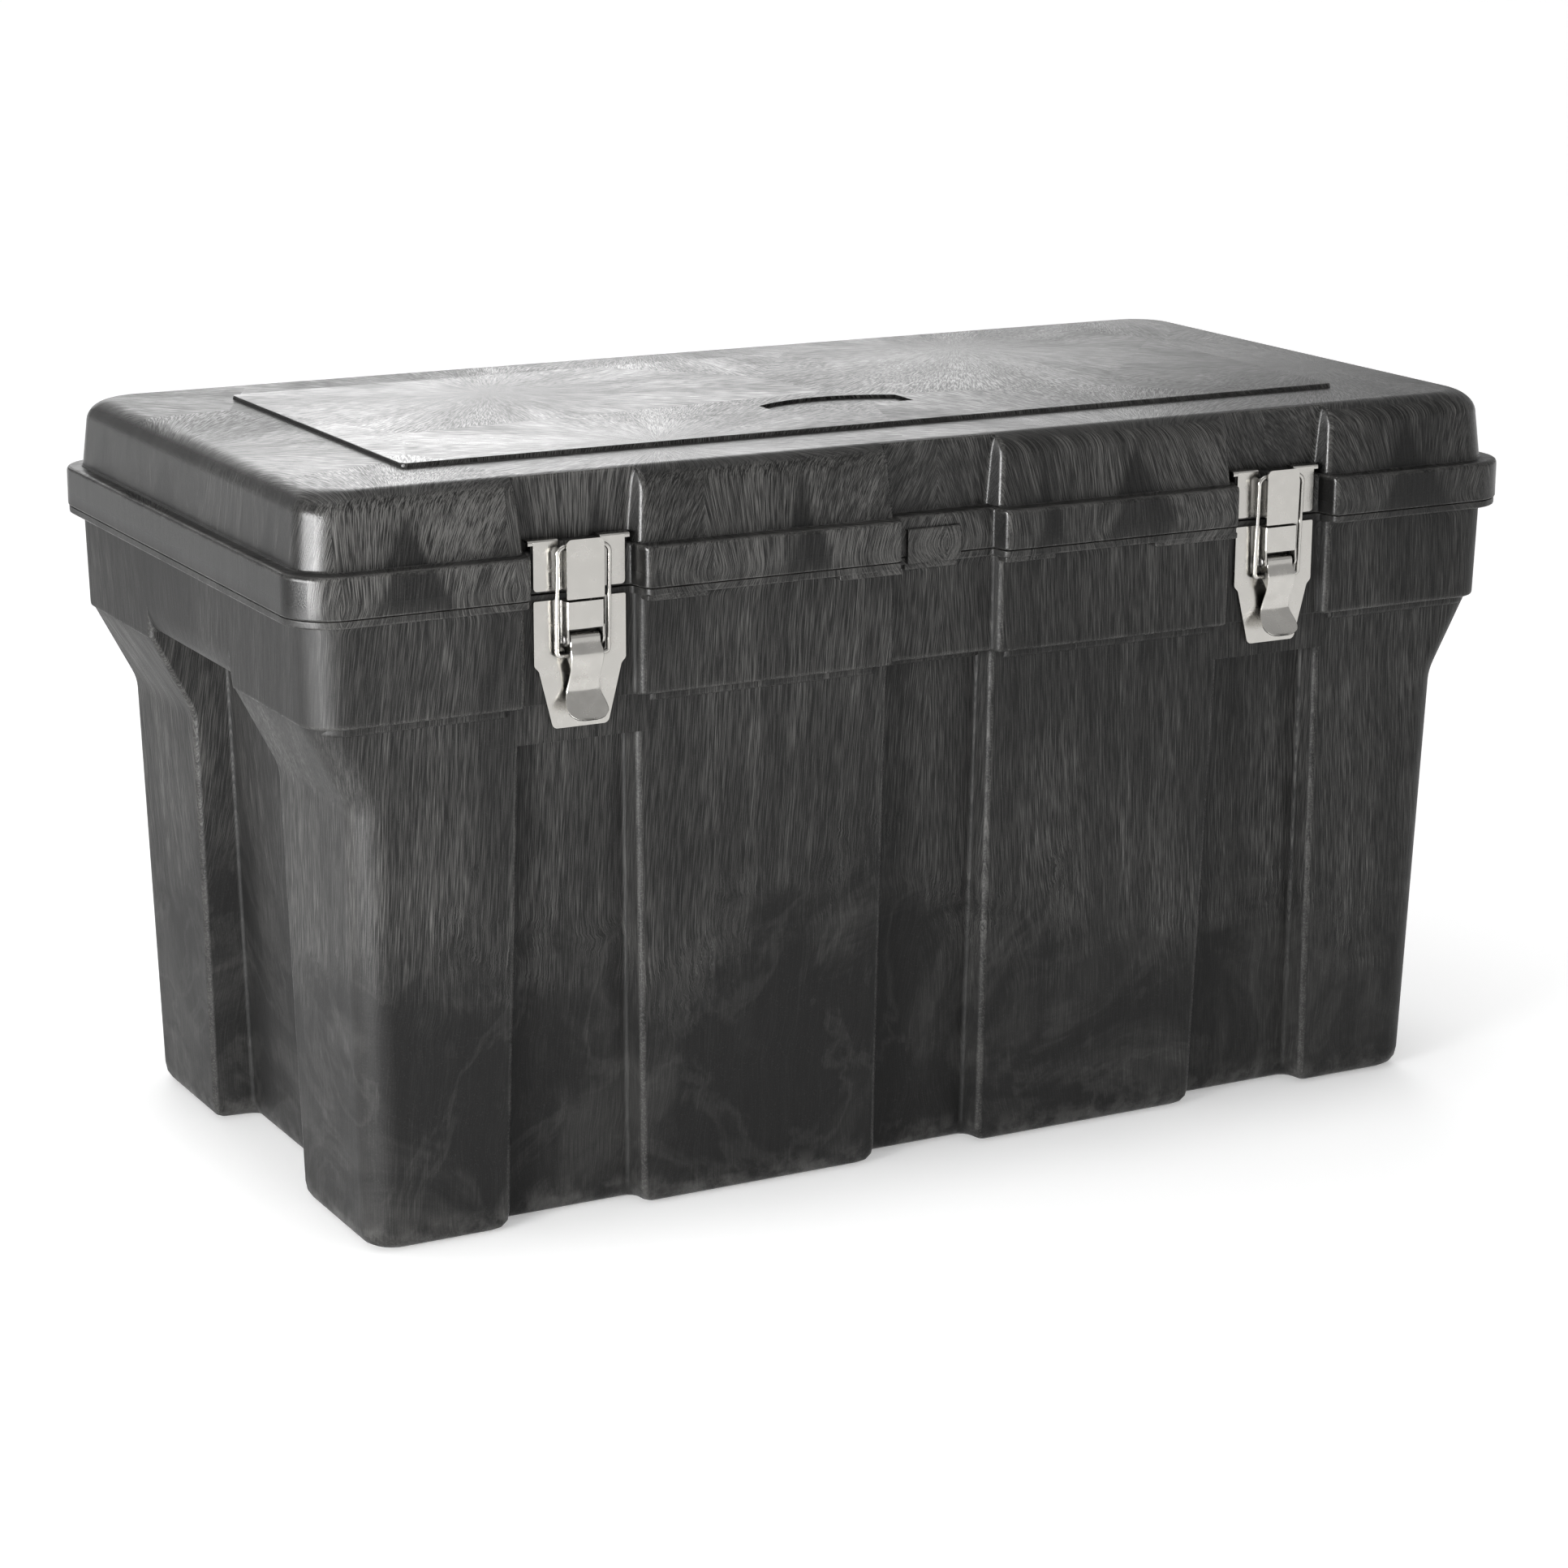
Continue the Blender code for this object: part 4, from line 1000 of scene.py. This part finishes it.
def wear_and_glint_share(g, place):
    """Where edges are rubbed and carry painted glints: the mesh's own attribute, broken up by noise."""
    worn_and_glinting = g.add("ShaderNodeAttribute", output="Fac", attribute_name="edge_wear_and_glint")
    patches = g.ramp(g.noise(place, 45.0, 2.0), 0.35, 0.65, 0.25, 0.75)
    specks = g.ramp(g.noise(place, 900.0, 1.0), 0.45, 0.70, -0.25, 0.6)
    return g.times(worn_and_glinting, g.plus(patches, specks))


def foot_scuffs(g, place, z):
    """Pale scuffs along the foot of the walls."""
    return g.times(g.ramp(z, 0.021, 0.008), g.ramp(g.noise(place, 70.0, 4.0, 0.6), 0.42, 0.66))


def top_roughness(g, x, y, z, streak, wide, cloud):
    """Roughness of the lid's top: streaked, smoother on the panel and on the border's front right."""
    rough = g.ramp(g.plus(g.times(wide, 0.25), cloud), 0.35, 0.90, 0.47, 0.37)
    rough = g.plus(rough, g.ramp(streak, 0.30, 0.70, 0.09, -0.09))
    border = g.ramp(g.minus(y, x), -0.30, 0.50, -0.080, 0.095, smooth=False)
    on_panel = g.ramp(z, PANEL_Z - 0.0018, PANEL_Z - 0.0006)
    return g.plus(rough, g.blend(on_panel, border, -0.02))


def plastic_material():
    """Structural-foam plastic: fine flow streaks that fan and swirl, over a fine grain."""
    material = bpy.data.materials.new("charcoal_plastic_flow")
    g = Graph(material)
    place, normal = (g.add("ShaderNodeTexCoord", output=name) for name in ("Object", "Normal"))
    normal = g.split(normal)
    x, y, z = g.split(place)
    upward = g.ramp(g.absolute(normal[2]), 0.62, 0.90)
    on_lid = g.ramp(z, 0.355, 0.375)
    side_fine, side_broad, side_fans_and_end_shade, low = side_streaks(g, place, normal, on_lid)
    top_fine, top_broad, top_facet = top_streaks(g, x, y)
    streak = g.blend(upward, side_fine, top_fine)
    broad = g.blend(upward, side_broad, top_broad)
    facet = g.blend(upward, side_fans_and_end_shade, top_facet)
    grain = g.noise(place, GRAIN_SCALE, 2.0, 0.6)
    cloud = g.noise(place, 6.0, 3.0, 0.55)
    fine = g.ramp(streak, 0.38, 0.78, 0.04, 1.16)
    wide = g.ramp(broad, 0.30, 0.75)
    wear_and_glint = wear_and_glint_share(g, place)

    light = streak_light(g, fine, wide, cloud, facet, on_lid)
    light = g.blend(g.times(low, 0.9), light, swirl_light(g, place, fine))
    light = g.plus(light, g.times(g.ramp(grain, 0.55, 0.78), 0.12))
    # Rubbed edges made paler, which also paints glints along the edges.
    light = g.plus(light, g.times(wear_and_glint, 0.35))
    light = g.plus(light, g.times(foot_scuffs(g, place, z), 0.30))
    g.put(g.shader.inputs["Base Color"], g.blend_colour(light, DARK_PLASTIC, PALE_PLASTIC))

    side_rough = g.blend(light, g.blend(on_lid, 0.55, 0.27), g.blend(on_lid, 0.38, 0.26))
    rough = g.blend(upward, side_rough, top_roughness(g, x, y, z, streak, wide, cloud))
    g.put(g.shader.inputs["Roughness"], g.minus(rough, g.times(wear_and_glint, 0.14)))
    g.shader.inputs["Specular IOR Level"].default_value = 0.23

    height = g.plus(g.times(streak, 0.35), g.times(grain, g.blend(on_lid, 0.45, 1.0)))
    height = g.plus(height, g.times(broad, 1.2))
    g.bump(g.times(height, g.blend(upward, 1.0, 0.45)), 1.0, 0.00012)
    return material


def steel_material(name, colour, roughness):
    """Plated steel with faint drawing lines and handling marks, and painted shade darkening its hollows."""
    material = bpy.data.materials.new(name)
    g = Graph(material)
    place = g.add("ShaderNodeTexCoord", output="Object")
    x, y, z = g.split(place)
    lines = g.noise(g.join(x, y, g.times(z, 0.05)), 2600.0, 2.0, 0.5)
    smudge = g.noise(place, 120.0, 3.0, 0.55)
    bright, dull, shaded_dark = ((*[channel * share for channel in colour], 1.0) for share in (1.0, 0.92, 0.16))
    clean = g.blend_colour(g.ramp(smudge, 0.35, 0.7), dull, bright)
    # Painted shade: where ambient occlusion finds a hollow, the colour darkens to about a sixth of itself.
    unshaded_share = g.ramp(g.openness(0.006, 6), 0.35, 0.92)
    g.put(g.shader.inputs["Base Color"], g.blend_colour(unshaded_share, shaded_dark, clean))
    g.shader.inputs["Metallic"].default_value = 1.0
    g.put(g.shader.inputs["Roughness"], g.ramp(smudge, 0.3, 0.75, roughness * 0.8, roughness * 1.35))
    g.bump(g.plus(lines, g.times(smudge, 1.5)), 0.10, 0.0002)
    return material


# ---------------------------------------------------------------- stage
# The way to the glow that the lid's top mirrors, and how its strength falls off with the cosine from it.
GLOW_WAY = Vector((0.301, 0.927, 0.28)).normalized()
GLOW_START, GLOW_FULL, SKY_STRENGTH, GLOW_STRENGTH = 0.945, 0.998, 0.50, 5.6
FLOOR_ALBEDO, FLOOR_SIZE, FLOOR_Z = 0.80, 200.0, -0.0002
# The floor's glow, the dimmer glow of its painted contact shadow, and how far that shadow reaches.
FLOOR_GLOW, CONTACT_SHADOW_GLOW, CONTACT_SHADOW_REACH = 0.52, 0.33, 0.10
# Angles in degrees, the aim point's height, the distance, and how far the view is moved right and up.
CAMERA_AZIMUTH, CAMERA_ELEVATION, CAMERA_ROLL = -28.388, 14.8746, 0.2715
CAMERA_AIM_Z, CAMERA_DISTANCE, CAMERA_MOVE = 0.2, 2.42, (-0.0019, -0.0134)
CAMERA_LENS, CAMERA_SENSOR = 89.98, 36.0


def add_area(name, place, target, size, power, diffuse=True):
    """A rectangular softbox; one without diffuse light only adds its reflection."""
    data = bpy.data.lights.new(name, "AREA")
    data.shape = "RECTANGLE"
    data.size, data.size_y = size
    data.energy = power
    lamp = in_scene(name, data)
    lamp.location = place
    lamp.rotation_euler = (Vector(target) - Vector(place)).to_track_quat("-Z", "Y").to_euler()
    lamp.visible_diffuse = diffuse


def floor_material():
    """White paper with a painted contact shadow: it glows a little less where the object stands on it."""
    material = bpy.data.materials.new("stage_floor")
    g = Graph(material)
    g.put(g.shader.inputs["Base Color"], (FLOOR_ALBEDO, FLOOR_ALBEDO, FLOOR_ALBEDO, 1.0))
    g.shader.inputs["Roughness"].default_value = 0.9
    g.shader.inputs["Specular IOR Level"].default_value = 0.1
    g.put(g.shader.inputs["Emission Color"], (1.0, 1.0, 1.0, 1.0))
    # Painted contact shadow: the glow dims where ambient occlusion finds the object close by.
    shadowed_glow = g.ramp(g.openness(CONTACT_SHADOW_REACH, 8), 0.50, 0.97, CONTACT_SHADOW_GLOW, FLOOR_GLOW, smooth=False)
    g.put(g.shader.inputs["Emission Strength"], shadowed_glow)
    return material


def build_stage():
    bm = bmesh.new()
    bmesh.ops.create_grid(bm, x_segments=1, y_segments=1, size=FLOOR_SIZE)
    floor = new_object("floor", bm)
    floor.location.z = FLOOR_Z
    floor.data.materials.append(floor_material())
    bpy.context.scene.world = studio_world()
    add_area("softbox_top", (-0.3, 0.2, 2.8), (0, 0, 0.2), (2.0, 1.6), 11.0)
    add_area("softbox_left", (-1.13, -0.66, 0.28), (-0.30, -0.19, 0.40), (0.40, 0.44), 15.0)
    add_area("softbox_gleam", (-1.30, -0.36, 0.54), (-0.38, -0.19, 0.40), (0.80, 0.50), 40.0, diffuse=False)


def studio_world():
    """Even white surroundings with a broad low glow behind the object."""
    world = bpy.data.worlds.new("studio")
    g = Graph(world, "Background")
    place = g.add("ShaderNodeTexCoord", output="Generated")
    toward = g.add("ShaderNodeVectorMath", place, GLOW_WAY, output="Value", operation="DOT_PRODUCT")
    strength = g.ramp(toward, GLOW_START, GLOW_FULL, SKY_STRENGTH, GLOW_STRENGTH)
    g.put(g.shader.inputs["Strength"], strength)
    g.put(g.shader.inputs["Color"], (1.0, 1.0, 1.0, 1.0))
    return world


def build_camera():
    """The photograph's view of the object."""
    azimuth, elevation, roll = (math.radians(v) for v in (CAMERA_AZIMUTH, CAMERA_ELEVATION, CAMERA_ROLL))
    flat = math.cos(elevation)
    back = Vector((math.sin(azimuth) * flat, -math.cos(azimuth) * flat, math.sin(elevation)))
    right = (-back).cross(Vector((0, 0, 1))).normalized()
    up = right.cross(-back)
    camera_x = right * math.cos(roll) + up * math.sin(roll)
    camera_y = up * math.cos(roll) - right * math.sin(roll)
    data = bpy.data.cameras.new("camera")
    data.sensor_width = CAMERA_SENSOR
    data.lens = CAMERA_LENS
    data.clip_start, data.clip_end = 0.05, 500.0
    camera = in_scene("camera", data)
    turn = Matrix((camera_x, camera_y, back)).transposed().to_4x4()
    aim = Vector((0, 0, CAMERA_AIM_Z)) + right * CAMERA_MOVE[0] + up * CAMERA_MOVE[1]
    camera.matrix_world = Matrix.Translation(aim + back * CAMERA_DISTANCE) @ turn
    bpy.context.scene.camera = camera


# ---------------------------------------------------------------- build
plastic = plastic_material()
nickel = steel_material("nickel_plate", (0.57, 0.555, 0.525), 0.23)
rivet_steel = steel_material("rivet_plate", (0.50, 0.49, 0.48), 0.32)

build_body_shell(plastic)
build_lid_shell(plastic)
for side, x in (("left", -LATCH_X), ("right", LATCH_X)):
    build_strike(side, x, nickel)
    build_base(side, x, nickel)
    build_lever(side, x, nickel)
    build_bail(side, x, nickel)
    build_pins(side, x, rivet_steel)

build_stage()
build_camera()
bpy.context.scene.view_settings.view_transform = "Standard"

bpy.context.view_layer.update()
